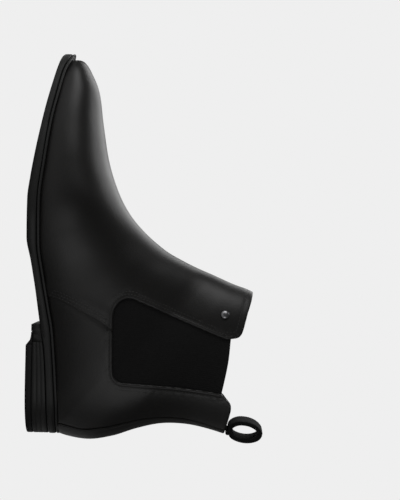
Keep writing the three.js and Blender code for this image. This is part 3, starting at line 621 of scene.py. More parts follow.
_fx = np.arange(-262.0, 44.0, 1.0)
FEATHER = np.stack([_fx, feather_z(_fx) + FEATHER_RISE], -1)
_shaft = section(np.linspace(ANKLE_SECTION, TOP_REACH, 120))
BACK_RIDGE, RIDGE = _shaft[:, 0:2], _shaft[:, 2:4]


def zip_frame():
    """The zip's frame: its top end, and the directions across it, down it and out of the boot."""
    top, bottom = (surface(*places([p], MEDIAL)[0]) for p in (ZIP_TOP, ZIP_BOTTOM))
    down = (bottom - top) / np.linalg.norm(bottom - top)
    out = np.array([0, 1.0, 0]) - down * down[1]
    out /= np.linalg.norm(out)
    return top, np.cross(down, out), down, out, np.linalg.norm(bottom - top)


ZIP_ORIGIN, ZIP_ACROSS, ZIP_DOWN, ZIP_OUT, ZIP_LENGTH = zip_frame()


ZIP_OVERRUN = 16.0


def zip_points(points):
    p = np.asarray(points, float)
    return ZIP_ORIGIN + p[:, :1] * ZIP_ACROSS + p[:, 1:2] * ZIP_DOWN + p[:, 2:] * ZIP_OUT


def zip_edge(across, high=ZIP_LENGTH):
    """A line beside the zip in side view, from above the topline down."""
    y = np.arange(-ZIP_OVERRUN, high + 0.01, 1.0)
    y[-1] = high
    p = zip_points(np.stack([np.full(len(y), across), y, np.zeros(len(y))], -1))
    return p[:, [0, 2]]


def feather_edge(t_from, t_to, side):
    t = np.linspace(t_from, t_to, 160)
    return np.stack([t, feather_s(t, side, FEATHER_RISE)], -1)


def straight(a, b):
    count = max(2, int(np.linalg.norm(b - a)) + 1)
    return a + (b - a) * np.linspace(0, 1, count)[:, None]


def section_at(point, side):
    return places([point], side)[0, 0]


def toe_edge(t, count):
    """A line across the toe, from the medial feather edge to the lateral one."""
    s = feather_s(np.array([t]), MEDIAL, FEATHER_RISE)[0]
    return np.stack([np.full(count, t), np.linspace(s, -s, count)], -1)


def on(side, *edges):
    """Named edges from side-view lines, laid on one side of the last."""
    return [(kind, places(points, side)) for kind, points in edges]


SEAM_BEND = np.array([-53.5, 57.6])
_level = straight(SEAM_BEND - (26.5, 0), SEAM_BEND + (23.5, 0))
MEDIAL_SEAM = np.concatenate([until(SIDE_SEAM, _level), straight(SEAM_BEND, ZIP_BOTTOM)[1:]])
STRIP_TUCK = 2.0
STRIP_LINE = shifted(BACK_STRIP, -STRIP_TUCK)
EDGE_STRIPS = (0.35, 0.8, 1.4, 2.1, 3.0, 4.2)
PANEL_SPACING, STRIP_SPACING = 2.2, 1.8


def vamp_panel():
    seam = until(after(SIDE_SEAM, FEATHER), WINDOW_FOOT)
    foot = until(WINDOW_FOOT, SIDE_SEAM)[::-1]
    front = WINDOW_FRONT[::-1]
    front = front[front[:, 1] < FLAP_TOP[-1, 1]]
    window = np.concatenate([foot, front[1:], FLAP_TOP[-1:]])
    flap = until(FLAP_TOP[::-1], RIDGE)
    zip_front = zip_edge(-ZIP_SLOT)
    inner = until(after(INNER_TOP, RIDGE), zip_front)
    slot = after(zip_front, INNER_TOP)
    slot = np.concatenate([slot, straight(slot[-1], ZIP_BOTTOM)[1:]])
    medial = after(MEDIAL_SEAM, FEATHER)[::-1]
    t_lateral, t_medial = section_at(seam[0], LATERAL), section_at(medial[-1], MEDIAL)
    return Panel([
        ("feather", feather_edge(TOE_START, t_lateral, LATERAL)),
        *on(LATERAL, ("seam", seam), ("window", window), ("top", flap)),
        *on(MEDIAL, ("top", inner), ("zip", slot), ("seam_in", medial)),
        ("feather", feather_edge(t_medial, TOE_START, MEDIAL)), ("toe", toe_edge(TOE_START, 9)),
    ], PANEL_SPACING, dict.fromkeys(("seam", "window", "top", "zip", "seam_in"), EDGE_STRIPS))


def quarter_lateral_panel():
    lapped = shifted(SIDE_SEAM, TUCK)
    seam = until(after(lapped, FEATHER), WINDOW_FOOT)
    window = np.concatenate([after(WINDOW_FOOT, lapped), until(WINDOW_REAR, REAR_TOP)[1:]])
    top = until(after(REAR_TOP, WINDOW_REAR), STRIP_LINE)
    strip = until(after(STRIP_LINE, FEATHER), REAR_TOP)[::-1]
    foot = feather_edge(section_at(strip[-1], LATERAL), section_at(seam[0], LATERAL), LATERAL)
    edges = on(LATERAL, ("tuck", seam), ("window", window), ("top", top), ("strip", strip))
    return Panel(edges + [("feather", foot)], PANEL_SPACING, dict.fromkeys(("window", "top"), EDGE_STRIPS))


def quarter_medial_panel():
    seam = after(MEDIAL_SEAM, FEATHER)
    zip_rear = zip_edge(ZIP_SLOT)
    slot = after(zip_rear, INNER_TOP)[::-1]
    slot = np.concatenate([straight(ZIP_BOTTOM, slot[0]), slot[1:]])
    top = until(after(INNER_TOP, zip_rear), STRIP_LINE)
    strip = until(after(STRIP_LINE, FEATHER), INNER_TOP)[::-1]
    foot = feather_edge(section_at(strip[-1], MEDIAL), section_at(seam[0], MEDIAL), MEDIAL)
    edges = on(MEDIAL, ("tuck", seam), ("zip", slot), ("top", top), ("strip", strip))
    return Panel(edges + [("feather", foot)], PANEL_SPACING, dict.fromkeys(("zip", "top"), EDGE_STRIPS))


def around_back(ts):
    """Lateral places carried on past the back line, so that a panel can cross it."""
    return np.stack([ts[:, 0], np.where(ts[:, 1] < 0, ts[:, 1] + 2, ts[:, 1])], -1)


def back_strip_panel():
    medial = until(after(BACK_STRIP, FEATHER), INNER_TOP)
    lateral = until(after(BACK_STRIP, FEATHER), REAR_TOP)
    up, down = places(medial, MEDIAL), around_back(places(lateral, LATERAL))[::-1]
    s_top = np.linspace(up[-1, 1], down[0, 1], 24)
    top = np.stack([top_t(s_top, INNER_TOP), s_top], -1)
    top[0], top[-1] = up[-1], down[0]
    s_low = np.linspace(down[-1, 1], up[0, 1], 24)
    low = np.stack([bottom_t(s_low), s_low], -1)
    low[0], low[-1] = down[-1], up[0]
    edges = [("side", up), ("top", top), ("side", down), ("feather", low)]
    return Panel(edges, STRIP_SPACING, dict.fromkeys(("side", "top"), EDGE_STRIPS[:4]))


def folded(distance, radius):
    return -roll(distance, radius)


SEAM_ROWS = (1.8, 4.0, 6.2)
WINDOW_ROWS = (3.2, 5.6)
TOP_ROW, ZIP_ROW, STRIP_ROW = 5.0, 3.0, 1.6
LAP_REACH = 6


def window_bead(distance):
    """The rolled edge round the gore's window and the two grooves its stitches lie in."""
    grooves = sum(0.3 * bump(distance, row, 0.5) for row in WINDOW_ROWS)
    return 0.28 * bump(distance, 1.4, 0.9) - grooves


def top_band(distance):
    """The topline's folded band, pressed down a little along its stitches."""
    return -0.3 * bump(distance, TOP_ROW, 0.6)


def near(distance, reach, fade):
    """1 within reach of an edge, fading to 0 over the next stretch."""
    return 1 - ease((distance - reach) / fade)


def leather_height(panel):
    """A leather panel's outer face: lasted unevenness, folded edges and pressed stitch rows."""
    d_top, d_window, d_zip = (panel.distance(kind) for kind in ("top", "window", "zip"))
    height = waviness(panel.base) + folded(d_top, FOLD)
    height += folded(d_window, GORE_FOLD) + folded(d_zip, GORE_FOLD)
    return height + window_bead(d_window) + top_band(d_top) - 0.15 * bump(d_zip, ZIP_ROW, 0.7)


def vamp_leather(panel):
    """The vamp, raised where it laps over the quarters."""
    d_lateral = panel.distance("seam")
    d_seam = np.minimum(d_lateral, panel.distance("seam_in"))
    outer = leather_height(panel) + LAP * near(d_seam, LAP_REACH, 9) - 0.35 * np.exp(-d_seam / 0.35)
    outer -= sum(0.22 * bump(d_lateral, row, 0.45) for row in SEAM_ROWS)
    return panel.solid("vamp_leather", outer, INNER + 0.5 * near(d_seam, LAP_REACH, 4), welded="toe")


def quarter_leather(panel, name, tuck):
    """A quarter, sunk where the vamp and the back strip lap over it."""
    sunk = near(panel.distance("tuck"), tuck, 2.5) + near(panel.distance("strip"), STRIP_TUCK, 2.0)
    outer = leather_height(panel) + UNDERLAP * sunk
    return panel.solid(name, outer, np.minimum(outer - 0.5, INNER))


def strip_leather(panel):
    outer = LAP + folded(panel.distance("top"), FOLD) - 0.3 * np.exp(-panel.distance("side") / 0.35)
    return panel.solid("back_strip_leather", outer, -0.2)


def build_upper():
    """The four leather panels and their meshes."""
    panels = (vamp_panel(), quarter_lateral_panel(), quarter_medial_panel(), back_strip_panel())
    vamp, quarter, medial, strip = panels
    meshes = {
        "vamp": vamp_leather(vamp),
        "quarter_lateral": quarter_leather(quarter, "quarter_lateral_leather", TUCK),
        "quarter_medial": quarter_leather(medial, "quarter_medial_leather", 0),
        "back_strip": strip_leather(strip),
    }
    for node, mesh in meshes.items():
        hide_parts(node)
    return panels, meshes.values()


# Gore and lining -----

GORE_OUT, GORE_IN = -1.5, -2.3
GORE_FOOT_Z, GORE_TOP_Z = 63.0, 158.0
GORE_TUCK = 5.5
RIB_PITCH, RIB_HEIGHT = 1.6, 0.16
LINING_OUT, LINING_IN = -3.1, -3.9
LINING_SLOT, LINING_TOE = 5.7, 0.5
LINING_SPACING, LINING_STRIPS = 3.2, {"top": (0.5, 1.5)}
LINING_SEAM = curve([(-92, 5), (-90, 30), (-76, 60), (-73, 92), (-60, 124), (-47, 160), (-46, 200)])


def by_height(line, z):
    order = np.argsort(line[:, 1])
    return np.interp(z, line[order, 1], line[order, 0])


def grid_solid(name, outer, inner, node, smooth_angle=50):
    """A closed sheet from two grids of points."""
    rows, columns = outer.shape[:2]
    count = rows * columns
    a = np.arange(count).reshape(rows, columns)[:-1, :-1].ravel()
    faces = [tuple(f) for f in np.stack([a, a + 1, a + columns + 1, a + columns], -1)]
    faces += [tuple(v + count for v in f[::-1]) for f in faces]
    at = np.arange(count).reshape(rows, columns)
    sides = (at[0], at[1:, -1], at[-1, -2::-1], at[-2:0:-1, 0])
    rim = [int(k) for side in sides for k in side]
    faces += [(p, p + count, q + count, q) for p, q in zip(rim, rim[1:] + rim[:1])]
    mesh = new_mesh(name, np.concatenate([outer.reshape(-1, 3), inner.reshape(-1, 3)]), faces, smooth_angle)
    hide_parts(node)
    return mesh


def build_gore():
    """The ribbed elastic, with a plain hem along its top."""
    rise = np.linspace(0, 1, 56)[:, None]
    across = np.linspace(0, 1, 200)[None, :]
    nominal = GORE_FOOT_Z + (GORE_TOP_Z - GORE_FOOT_Z) * rise
    front = by_height(WINDOW_FRONT, nominal) - GORE_TUCK
    rear = by_height(WINDOW_REAR, nominal) + GORE_TUCK
    x = front + (rear - front) * across
    z = GORE_FOOT_Z + (np.interp(x, GORE_HEM[:, 0], GORE_HEM[:, 1]) - GORE_FOOT_Z) * rise
    ts = places(np.stack([x, z], -1).reshape(-1, 2), LATERAL)
    base, out = surface(*ts.T), normals(*ts.T)
    ribs = 0.5 - 0.5 * np.cos(2 * np.pi * (rear - x) / RIB_PITCH)
    hem = ease((rise - 0.955) / 0.012)
    height = GORE_OUT + RIB_HEIGHT * ribs * (1 - hem) + 0.22 * hem
    shape = x.shape + (3,)
    outer = (base + out * height.reshape(-1, 1)).reshape(shape)
    inner = (base + out * GORE_IN).reshape(shape)
    return grid_solid("gore_elastic", outer, inner, "gore_lateral")


def lining_front_panel(seam_l, seam_m):
    t_l, t_m = section_at(seam_l[0], LATERAL), section_at(seam_m[0], MEDIAL)
    flap = until(after(FLAP_TOP[::-1], LINING_SEAM), RIDGE)
    inner = until(after(INNER_TOP, RIDGE), LINING_SEAM)
    return Panel([
        ("feather", feather_edge(LINING_TOE, t_l, LATERAL)), *on(LATERAL, ("side", seam_l), ("top", flap)),
        *on(MEDIAL, ("top", inner), ("side", seam_m[::-1])),
        ("feather", feather_edge(t_m, LINING_TOE, MEDIAL)), ("toe", toe_edge(LINING_TOE, 12)),
    ], LINING_SPACING, LINING_STRIPS)


def lining_rear_panel(seam_l, seam_m):
    t_l, t_m = section_at(seam_l[0], LATERAL), section_at(seam_m[0], MEDIAL)
    zip_front, zip_rear = (zip_edge(side * LINING_SLOT, ZIP_LENGTH + 1) for side in (-1, 1))
    top_to_zip = until(after(INNER_TOP, LINING_SEAM), zip_front)
    slot = np.concatenate([after(zip_front, INNER_TOP), after(zip_rear, INNER_TOP)[::-1]])
    top_to_back = until(after(INNER_TOP, zip_rear), BACK_RIDGE)
    gore_top = (GORE_HEM - (0, 1.2))[::-1]
    gore_top = until(gore_top[gore_top[:, 0] < 1.0], LINING_SEAM)
    top_lateral = np.concatenate([until(REAR_TOP, BACK_RIDGE)[::-1], gore_top])
    seam_down = until(LINING_SEAM[::-1], FEATHER)
    seam_down = seam_down[seam_down[:, 1] < gore_top[-1, 1]]
    t_back = bottom_t(np.array([1.0]))[0]
    lateral = on(LATERAL, ("top", top_lateral), ("side", seam_down))
    lateral.append(("feather", feather_edge(t_l, t_back, LATERAL)))
    return Panel([
        *on(MEDIAL, ("side", seam_m), ("top", top_to_zip), ("slot", slot), ("top", top_to_back)),
        *((kind, around_back(ts)) for kind, ts in lateral), ("feather", feather_edge(t_back, t_m, MEDIAL)),
    ], LINING_SPACING, LINING_STRIPS)


def build_lining():
    seams = [until(after(LINING_SEAM, FEATHER), top) for top in (FLAP_TOP, INNER_TOP)]
    meshes = []
    for panel, name, node in ((lining_front_panel(*seams), "lining_front_leather", "lining_front"),
                              (lining_rear_panel(*seams), "lining_rear_leather", "lining_rear")):
        outer = LINING_OUT - 0.25 * roll(panel.distance("top"), 0.8)
        mesh = panel.solid(name, outer, LINING_IN)
        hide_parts(node)
        meshes.append(mesh)
    return meshes


# Stitches -----

STITCH_LENGTH, STITCH_GAP, STITCH_RADIUS = 1.9, 0.7, 0.38
STITCH_SIDES, STITCH_FLATNESS = 6, 0.7
STITCH_STATIONS = ((-0.5, 0.25), (-0.32, 0.85), (0.0, 1.0), (0.32, 0.85), (0.5, 0.25))


def stitch_mesh(rows):
    """Short flattened thread capsules along rows of (points, outward directions)."""
    points, faces = [], []
    turn = np.arange(STITCH_SIDES) * 2 * np.pi / STITCH_SIDES
    capsule = drum_faces(len(STITCH_STATIONS), STITCH_SIDES)
    for line, outward in rows:
        length = np.concatenate([[0], np.cumsum(np.linalg.norm(np.diff(line, axis=0), axis=1))])

        def along_row(values, at):
            return np.array([np.interp(at, length, values[:, k]) for k in range(3)])

        for start in np.arange(0.4, length[-1] - STITCH_LENGTH, STITCH_LENGTH + STITCH_GAP):
            at = start + STITCH_LENGTH / 2
            place, out = along_row(line, at), along_row(outward, at)
            ahead = along_row(line, at + 0.5) - place
            ahead /= max(np.linalg.norm(ahead), 1e-9)
            side = np.cross(out, ahead)
            side /= max(np.linalg.norm(side), 1e-9)
            up = np.cross(ahead, side) * STITCH_FLATNESS
            faces += moved_faces(capsule, len(points))
            for along, radius in STITCH_STATIONS:
                centre = place + ahead * along * STITCH_LENGTH
                for angle in turn:
                    radial = side * math.cos(angle) + up * math.sin(angle)
                    points.append(centre + radial * radius * STITCH_RADIUS)
    return points, faces


def edge_row(panel, kind, distance, height):
    """A row beside a panel's edges of one kind, in unbroken runs."""
    index = np.where(panel.kinds == kind)[0]
    runs = np.split(index, np.where(np.diff(index) > 1)[0] + 1)
    rows = []
    everything = tree_of(surface(*panel.loop.T))
    for run in runs:
        uv = panel.inward(run, distance)
        base = map_surface(uv)
        keep = distances(everything, base) > 0.85 * distance
        ts = from_map(uv[keep])
        if len(ts) > 4:
            out = normals(*ts.T)
            rows.append((surface(*ts.T) + out * height, out))
    return rows


def build_stitches(panels):
    vamp, quarter, medial, strip = panels
    rows = []
    for distance in SEAM_ROWS:
        rows += edge_row(vamp, "seam", distance, LAP - 0.12)
    for distance in SEAM_ROWS[:2]:
        rows += edge_row(vamp, "seam_in", distance, LAP)
    for distance in WINDOW_ROWS:
        rows += edge_row(vamp, "window", distance, -0.22) + edge_row(quarter, "window", distance, -0.22)
    rows += edge_row(vamp, "zip", ZIP_ROW, -0.05) + edge_row(medial, "zip", ZIP_ROW, -0.05)
    for panel in (vamp, quarter, medial):
        rows += edge_row(panel, "top", TOP_ROW, -0.2)
    rows += edge_row(strip, "side", STRIP_ROW, LAP + 0.05)
    points, faces = stitch_mesh(rows)
    mesh = new_mesh("upper_stitches", points, faces, 60)
    return mesh


# Sole unit -----

SOLE_EDGE = [
    (-265.4, 11), (-259.4, -7), (-244.5, -16.7), (-225.5, -25.1), (-206.5, -32.5), (-187.5, -38.8),
    (-168.5, -43.8), (-149.5, -47.6), (-135, -48.9), (-116.5, -46.1), (-97, -41), (-75, -35.6), (-50, -32.6),
    (-25, -32.2), (0, -32), (16, -28.8), (28, -21), (35.4, -10.5), (37.6, 0), (35.4, 10.5), (28, 21),
    (16, 28.8), (0, 32), (-25, 31.4), (-50, 30.4), (-75, 32.4), (-97, 38), (-116.5, 43.3),
    (-135, 46.6), (-149.5, 49.9),
    (-168.5, 51.8), (-187.5, 50.9), (-206.5, 48.4), (-225.5, 44.3), (-244.5, 38.4), (-259.4, 29.4),
]
SOLE_LOOP = curve(SOLE_EDGE, 1.3, closed=True)
GAP = 0.3
WELT_TOP, WELT_UNDER = -GAP, -GAP - 2.2
OUTSOLE_TOP = WELT_UNDER - GAP
PLATE_ANGLE = 35
CAP_SPACING = 4.0


def inset(loop, distance):
    tangent = np.roll(loop, -1, 0) - np.roll(loop, 1, 0)
    tangent /= np.linalg.norm(tangent, axis=1)[:, None]
    area = 0.5 * np.sum(loop[:, 0] * np.roll(loop[:, 1], -1) - loop[:, 1] * np.roll(loop[:, 0], -1))
    return loop + np.stack([-tangent[:, 1], tangent[:, 0]], -1) * np.sign(area) * distance


def cap(loop, height, spacing):
    """The flat of a plate inside a plan loop, following height(x)."""
    low, high = loop.min(0), loop.max(0)
    x, y = (np.arange(low[k] + spacing / 2, high[k], spacing) for k in (0, 1))
    lattice = np.stack(np.meshgrid(x, y, indexing="ij"), -1).reshape(-1, 2)
    lattice = lattice[inside(loop, lattice)]
    lattice = lattice[distances(tree_of([(*p, 0) for p in loop]), [(*p, 0) for p in lattice]) > spacing / 3]
    points = [Vector(p) for p in np.concatenate([loop, lattice])]
    result = delaunay_2d_cdt(points, [], [list(range(len(loop)))], 1, 1e-5)
    flat = np.array([tuple(p) for p in result[0]])
    return np.column_stack([flat, height(flat[:, 0])]), [tuple(f) for f in result[2]]


def capped(rings, ends, spacing=CAP_SPACING):
    """Points and faces of stacked rings whose first and last are closed by flats at the two heights given."""
    faces = rings_to_faces(len(rings), len(rings[0]))
    points = np.concatenate(rings)
    for ring, height in zip((rings[0], rings[-1]), ends):
        cap_points, cap_faces = cap(ring[:, :2], height, spacing)
        faces += moved_faces(cap_faces, len(points))
        points = np.concatenate([points, cap_points])
    return points, faces


def plate(name, loop, profile, node=None, closed=False):
    """A solid swept around a plan loop. The profile is a list of (inset, height function), upwards."""
    rings = []
    for distance, height in profile:
        flat = inset(loop, distance)
        rings.append(np.column_stack([flat, height(flat[:, 0])]))
    if closed:
        points, faces = np.concatenate(rings), rings_to_faces(len(rings), len(loop), closed=True)
    else:
        points, faces = capped(rings, (profile[0][1], profile[-1][1]))
    mesh = new_mesh(name, points, faces, PLATE_ANGLE)
    if node:
        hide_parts(node)
    return mesh


def above_feather(rise):
    return lambda x: feather_z(x) + rise


def above_tread(rise):
    return lambda x: tread_z(x) + rise


def level(z):
    return lambda x: np.full(np.shape(x), float(z))


def between(low, high, f):
    return lambda x: low(x) + (high(x) - low(x)) * f


HEEL_FRONT, BLOCK_FRONT, HEEL_TOP_PIECE = -34.0, -36.0, 5.0
SHOULDER_FRONT, SHOULDER_HALF = -50.0, 28.5
SWEEP_LENGTH, SWEEP_HEIGHT = 10.0, 3.9
SWEEP_END = HEEL_FRONT - SWEEP_LENGTH
HEEL_LAYERS = 3
STITCH_INSET = 1.9


def heel_sweep(rise):
    """The underside of the heel's front edge: a quarter ellipse up from the ground, raised by `rise`."""
    def height(x):
        along = np.clip((HEEL_FRONT - x) / SWEEP_LENGTH, 0, 1)
        return SWEEP_HEIGHT * np.sqrt(along * (2 - along)) + rise
    return height


def box_loop(front, back, half, spacing):
    corners = [(front, -half), (back, -half), (back, half), (front, half), (front, -half)]
    return even(np.array(corners), spacing)[:-1]


def heel_loop(front):
    loop = inset(SOLE_LOOP, 0.35)
    at_back = loop[:, 0] > front
    start = np.where(at_back & ~np.roll(at_back, 1))[0][0]
    arc = np.roll(loop, -start, 0)[: at_back.sum()]
    breast = straight(arc[-1] * (0, 1) + (front, 0), arc[0] * (0, 1) + (front, 0))
    return np.concatenate([arc, breast])


def build_outsole():
    low, high = above_tread(0), above_feather(OUTSOLE_TOP)
    profile = [(2.0, low)]
    for inward, f in ((0.7, 0.03), (0.1, 0.15), (0, 0.5), (0.1, 0.85), (0.6, 0.97)):
        profile.append((inward, between(low, high, f)))
    return plate("outsole_rubber", SOLE_LOOP, profile + [(1.6, high)], "outsole")


def build_welt():
    """The welt's ring, with the groove its stitches lie in."""
    under = [(9.0, 0), (0.9, 0), (0.25, 0.35), (0.1, 1.1)]
    top = [(0.25, -0.35), (0.8, 0), (1.5, -0.1), (STITCH_INSET, -0.4), (2.3, -0.1), (3.0, 0), (9.0, 0)]
    profile = [(inward, above_feather(WELT_UNDER + rise)) for inward, rise in under]
    profile += [(inward, above_feather(WELT_TOP + rise)) for inward, rise in top]
    return plate("welt_strip", SOLE_LOOP, profile, "welt", closed=True)


def build_welt_stitches():
    flat = inset(SOLE_LOOP, STITCH_INSET)
    line = np.column_stack([flat, feather_z(flat[:, 0]) + WELT_TOP - 0.1])
    upright = np.tile((0, 0, 1.0), (len(line), 1))
    stitches = new_mesh("welt_stitches", *stitch_mesh([(line, upright)]), 60)
    return stitches


def build_heel_block():
    """The block in its layers, with a fine groove between each two."""
    bottom, top = level(HEEL_TOP_PIECE + GAP), above_tread(-GAP)
    profile = [(0.8, bottom)]
    for k in range(HEEL_LAYERS):
        for f, inward in ((0.04, 0.12), (0.12, 0), (0.88, 0), (0.96, 0.12)):
            profile.append((inward, between(bottom, top, (k + f) / HEEL_LAYERS)))
    profile.append((0.8, top))
    return plate("heel_block_stack", heel_loop(BLOCK_FRONT), profile, "heel_block")


def build_heel_rubber():
    lift = [(1.2, 0), (0.3, 0.35), (0, 1.1), (0, 4.3), (0.5, HEEL_TOP_PIECE)]
    lift = [(inward, level(z)) for inward, z in lift]
    piece = plate("heel_top_lift", heel_loop(HEEL_FRONT), lift, "heel_top_piece")
    under = [(0.3, heel_sweep(0)), (0, heel_sweep(0.3))]
    over = [(0, level(HEEL_TOP_PIECE - 0.2)), (0.2, level(HEEL_TOP_PIECE))]
    outline = box_loop(SWEEP_END, HEEL_FRONT + 0.5, SHOULDER_HALF, 0.8)
    sweep = plate("heel_front_sweep", outline, under + over)
    return [piece, sweep]


def build_shoulders():
    """The recessed part in front of the block, in two lengths, as the rear one sits on the top piece."""
    shoulders, top = [], above_tread(-GAP)
    for name, front, back, z in (
            ("heel_breast_shoulder", SHOULDER_FRONT, SWEEP_END - GAP, SWEEP_HEIGHT),
            ("heel_breast_rear", SWEEP_END - GAP, BLOCK_FRONT + 0.5, HEEL_TOP_PIECE + GAP)):
        under = level(z)
        profile = [(0.4, under), (0, between(under, top, 0.08)), (0, between(under, top, 0.9)), (0.3, top)]
        shoulders.append(plate(name, box_loop(front, back, SHOULDER_HALF, 1.5), profile))
    return shoulders


SOCK_BASE, PAD_RISE, SOCK_THICKNESS = 2.5, 2.8, 1.2
SOCK_INSIDE, SOCK_RISE = 4.9, 6.0
PAD_FRONT, PAD_FADE = -76, 22


def build_sock():
    """The insole cover, padded under the heel."""
    t = np.concatenate([np.linspace(0.9, 11.5, 90), np.linspace(11.6, 13.05, 22)])
    left, right = (surface(t, feather_s(t, side, SOCK_RISE)) for side in (LATERAL, MEDIAL))
    f = np.linspace(0, 1, 22)[None, :, None]
    centre = (left + right) / 2
    shrink = 1 - SOCK_INSIDE / np.maximum(np.linalg.norm(left - right, axis=1) / 2, SOCK_INSIDE + 0.5)
    left, right = (centre + (side - centre) * shrink[:, None] for side in (left, right))
    grid = left[:, None, :] + (right - left)[:, None, :] * f
    x = grid[..., 0]
    lift = SOCK_BASE + PAD_RISE * ease((x - PAD_FRONT) / PAD_FADE)
    dish = 0.5 * (2 * f[..., 0] - 1) ** 2
    top, under = grid.copy(), grid.copy()
    top[..., 2] = feather_z(x) + lift + SOCK_THICKNESS + dish
    under[..., 2] = feather_z(x) + lift
    return grid_solid("sock_cover", top, under, "sock_liner")


# Zip, loop and stud -----

TEETH_PITCH, TEETH_START, TEETH_END = 1.5, 3.0, 92.3
TOOTH_HALF, TOOTH_DEPTHS = 0.45, (-2.9, -1.1)


def box_points(x0, x1, y0, y1, z0, z1):
    return [(x, y, z) for z in (z0, z1) for y in (y0, y1) for x in (x0, x1)]


BOX_FACES = [(0, 2, 3, 1), (4, 5, 7, 6), (0, 1, 5, 4), (2, 6, 7, 3), (0, 4, 6, 2), (1, 3, 7, 5)]


def bevelled(obj, width, segments=2):
    """Sharp edges rounded by a modifier."""
    modifier = obj.modifiers.new("edges", "BEVEL")
    modifier.width = width * MM
    modifier.segments = segments
    modifier.limit_method = "ANGLE"
    modifier.angle_limit = math.radians(35)
    return obj


def build_zip():
    parts = []
    for name, side in (("front", -1), ("rear", 1)):
        points, faces = [], []
        x0, x1 = sorted((side * 0.25, side * 2.5))
        offset = 0.0 if side < 0 else TEETH_PITCH / 2
        for y in np.arange(TEETH_START + 0.4 + offset, TEETH_END - 0.4, TEETH_PITCH):
            faces += moved_faces(BOX_FACES, len(points))
            points += box_points(x0, x1, y - TOOTH_HALF, y + TOOTH_HALF, *TOOTH_DEPTHS)
        mesh = new_mesh(f"zip_teeth_{name}_row", zip_points(points), faces)
        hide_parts(f"zip_teeth_{name}")
        parts.append(bevelled(mesh, 0.15, 1))
    return parts


TAPE_DEPTHS, GUARD_DEPTHS = (1.95, 2.7), (5.45, 6.0)
GUARD_HALF, GUARD_START, GUARD_OVERRUN = 15.0, 3.0, 4.0
TAPE_START, TAPE_GAP, TAPE_EDGE = 0.4, 0.6, 11.0


def zip_sheet(name, across, down, depths, node):
    """A sheet under the leather beside or behind the zip, between two depths."""
    x, y = np.meshgrid(np.linspace(*across, 16), np.linspace(*down, 60))
    on_zip = zip_points(np.stack([x.ravel(), y.ravel(), np.zeros(x.size)], -1))
    ts = places(on_zip[:, [0, 2]], MEDIAL)
    base, out = surface(*ts.T), normals(*ts.T)
    outer, inner = ((base - out * depth).reshape(*x.shape, 3) for depth in depths)
    return grid_solid(name, outer, inner, node)


RING_RADIUS, RING_WIRE = 4.3, 0.6
LUG_CENTRE, LUG_HEIGHT = 11.1, 3.5


def build_pull():
    section_steps, around = 12, 48
    turn = np.arange(section_steps) * 2 * np.pi / section_steps
    profile = [(RING_RADIUS + RING_WIRE * math.cos(a), RING_WIRE * math.sin(a)) for a in turn]
    points = turned(profile, around) + (0, LUG_CENTRE + RING_RADIUS, LUG_HEIGHT)
    faces = rings_to_faces(section_steps, around, closed=True)
    ring = new_mesh("pull_ring_wire", zip_points(points), faces, 60, "ring")
    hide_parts("pull_ring")
    return ring


TAB_HALF, TAB_LENGTH, TAB_THICKNESS, TAB_EYE, TAB_EYE_HOLE = 3.0, 30.0, 1.6, 2.3, 1.35
TAB_EYE_HALF, TAB_FLARE = 2.0, 5.0


def build_tongue(eye):
    end = eye + TAB_LENGTH - TAB_HALF
    turn = np.linspace(0, np.pi, 14)
    tip = np.stack([TAB_HALF * np.cos(turn), end + TAB_HALF * np.sin(turn)], -1)
    root, flare = eye + TAB_EYE_HOLE + 0.2, eye + TAB_FLARE
    corners = [(-TAB_HALF, flare), (-TAB_EYE_HALF, root), (TAB_EYE_HALF, root), (TAB_HALF, flare)]
    outline = even(np.concatenate([tip, corners, tip[:1]]), 0.6)[:-1]
    low, high = LUG_HEIGHT - TAB_THICKNESS / 2, LUG_HEIGHT + TAB_THICKNESS / 2
    profile = [(0.9, high - 0.12), (0.6, high - 0.05), (0.3, high), (0.1, high - 0.15), (0, high - 0.4)]
    profile += [(0, low + 0.4), (0.1, low + 0.15), (0.3, low)]
    rings = [np.column_stack([inset(outline, d), np.full(len(outline), h)]) for d, h in profile]
    points, faces = capped(rings, (level(profile[0][1]), level(profile[-1][1])), 1.0)
    return new_mesh("pull_tab_leather", zip_points(points), faces, 40, "tab")


def build_tunnel(eye):
    steps, rim = 28, TAB_EYE - 0.2
    profile = [(TAB_EYE_HOLE, -1), (rim, -1), (TAB_EYE, -0.85), (TAB_EYE, 0.85), (rim, 1), (TAB_EYE_HOLE, 1)]
    points = turned(profile, steps)[:, [2, 0, 1]] * (TAB_EYE_HALF, 1, 1) + (0, eye, LUG_HEIGHT)
    faces = rings_to_faces(len(profile), steps, closed=True)
    return new_mesh("pull_tab_tunnel", zip_points(points), faces, 40, "tab")


def build_tab():
    """The zip pull's leather tongue, with a tunnel at its top for the ring."""
    eye = LUG_CENTRE + 2 * RING_RADIUS
    tongue, tunnel = build_tongue(eye), build_tunnel(eye)
    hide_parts("pull_tab")
    return [tongue, tunnel]


LOOP_PATH = [
    (31.5, 161.4), (27.2, 162.6), (24.6, 168.4), (25.2, 176.2), (28.2, 182.3), (32.4, 185.3), (36.6, 183.2),
    (38.6, 177), (38.2, 170), (35.6, 163.6),
]
LOOP_THICKNESS, LOOP_HALF, LOOP_YAW, LOOP_X = 3.9, 10.9, math.radians(7), 32.4
KNUCKLE, KNUCKLE_Z = 1.7, 159.4
WEAVE = 0.12


def yawed(points):
    """Points given from the loop's hinge line, turned with it."""
    c, s = math.cos(LOOP_YAW), math.sin(LOOP_YAW)
    return points @ np.array([[c, s, 0], [-s, c, 0], [0, 0, 1]]) + (LOOP_X, 0, 0)


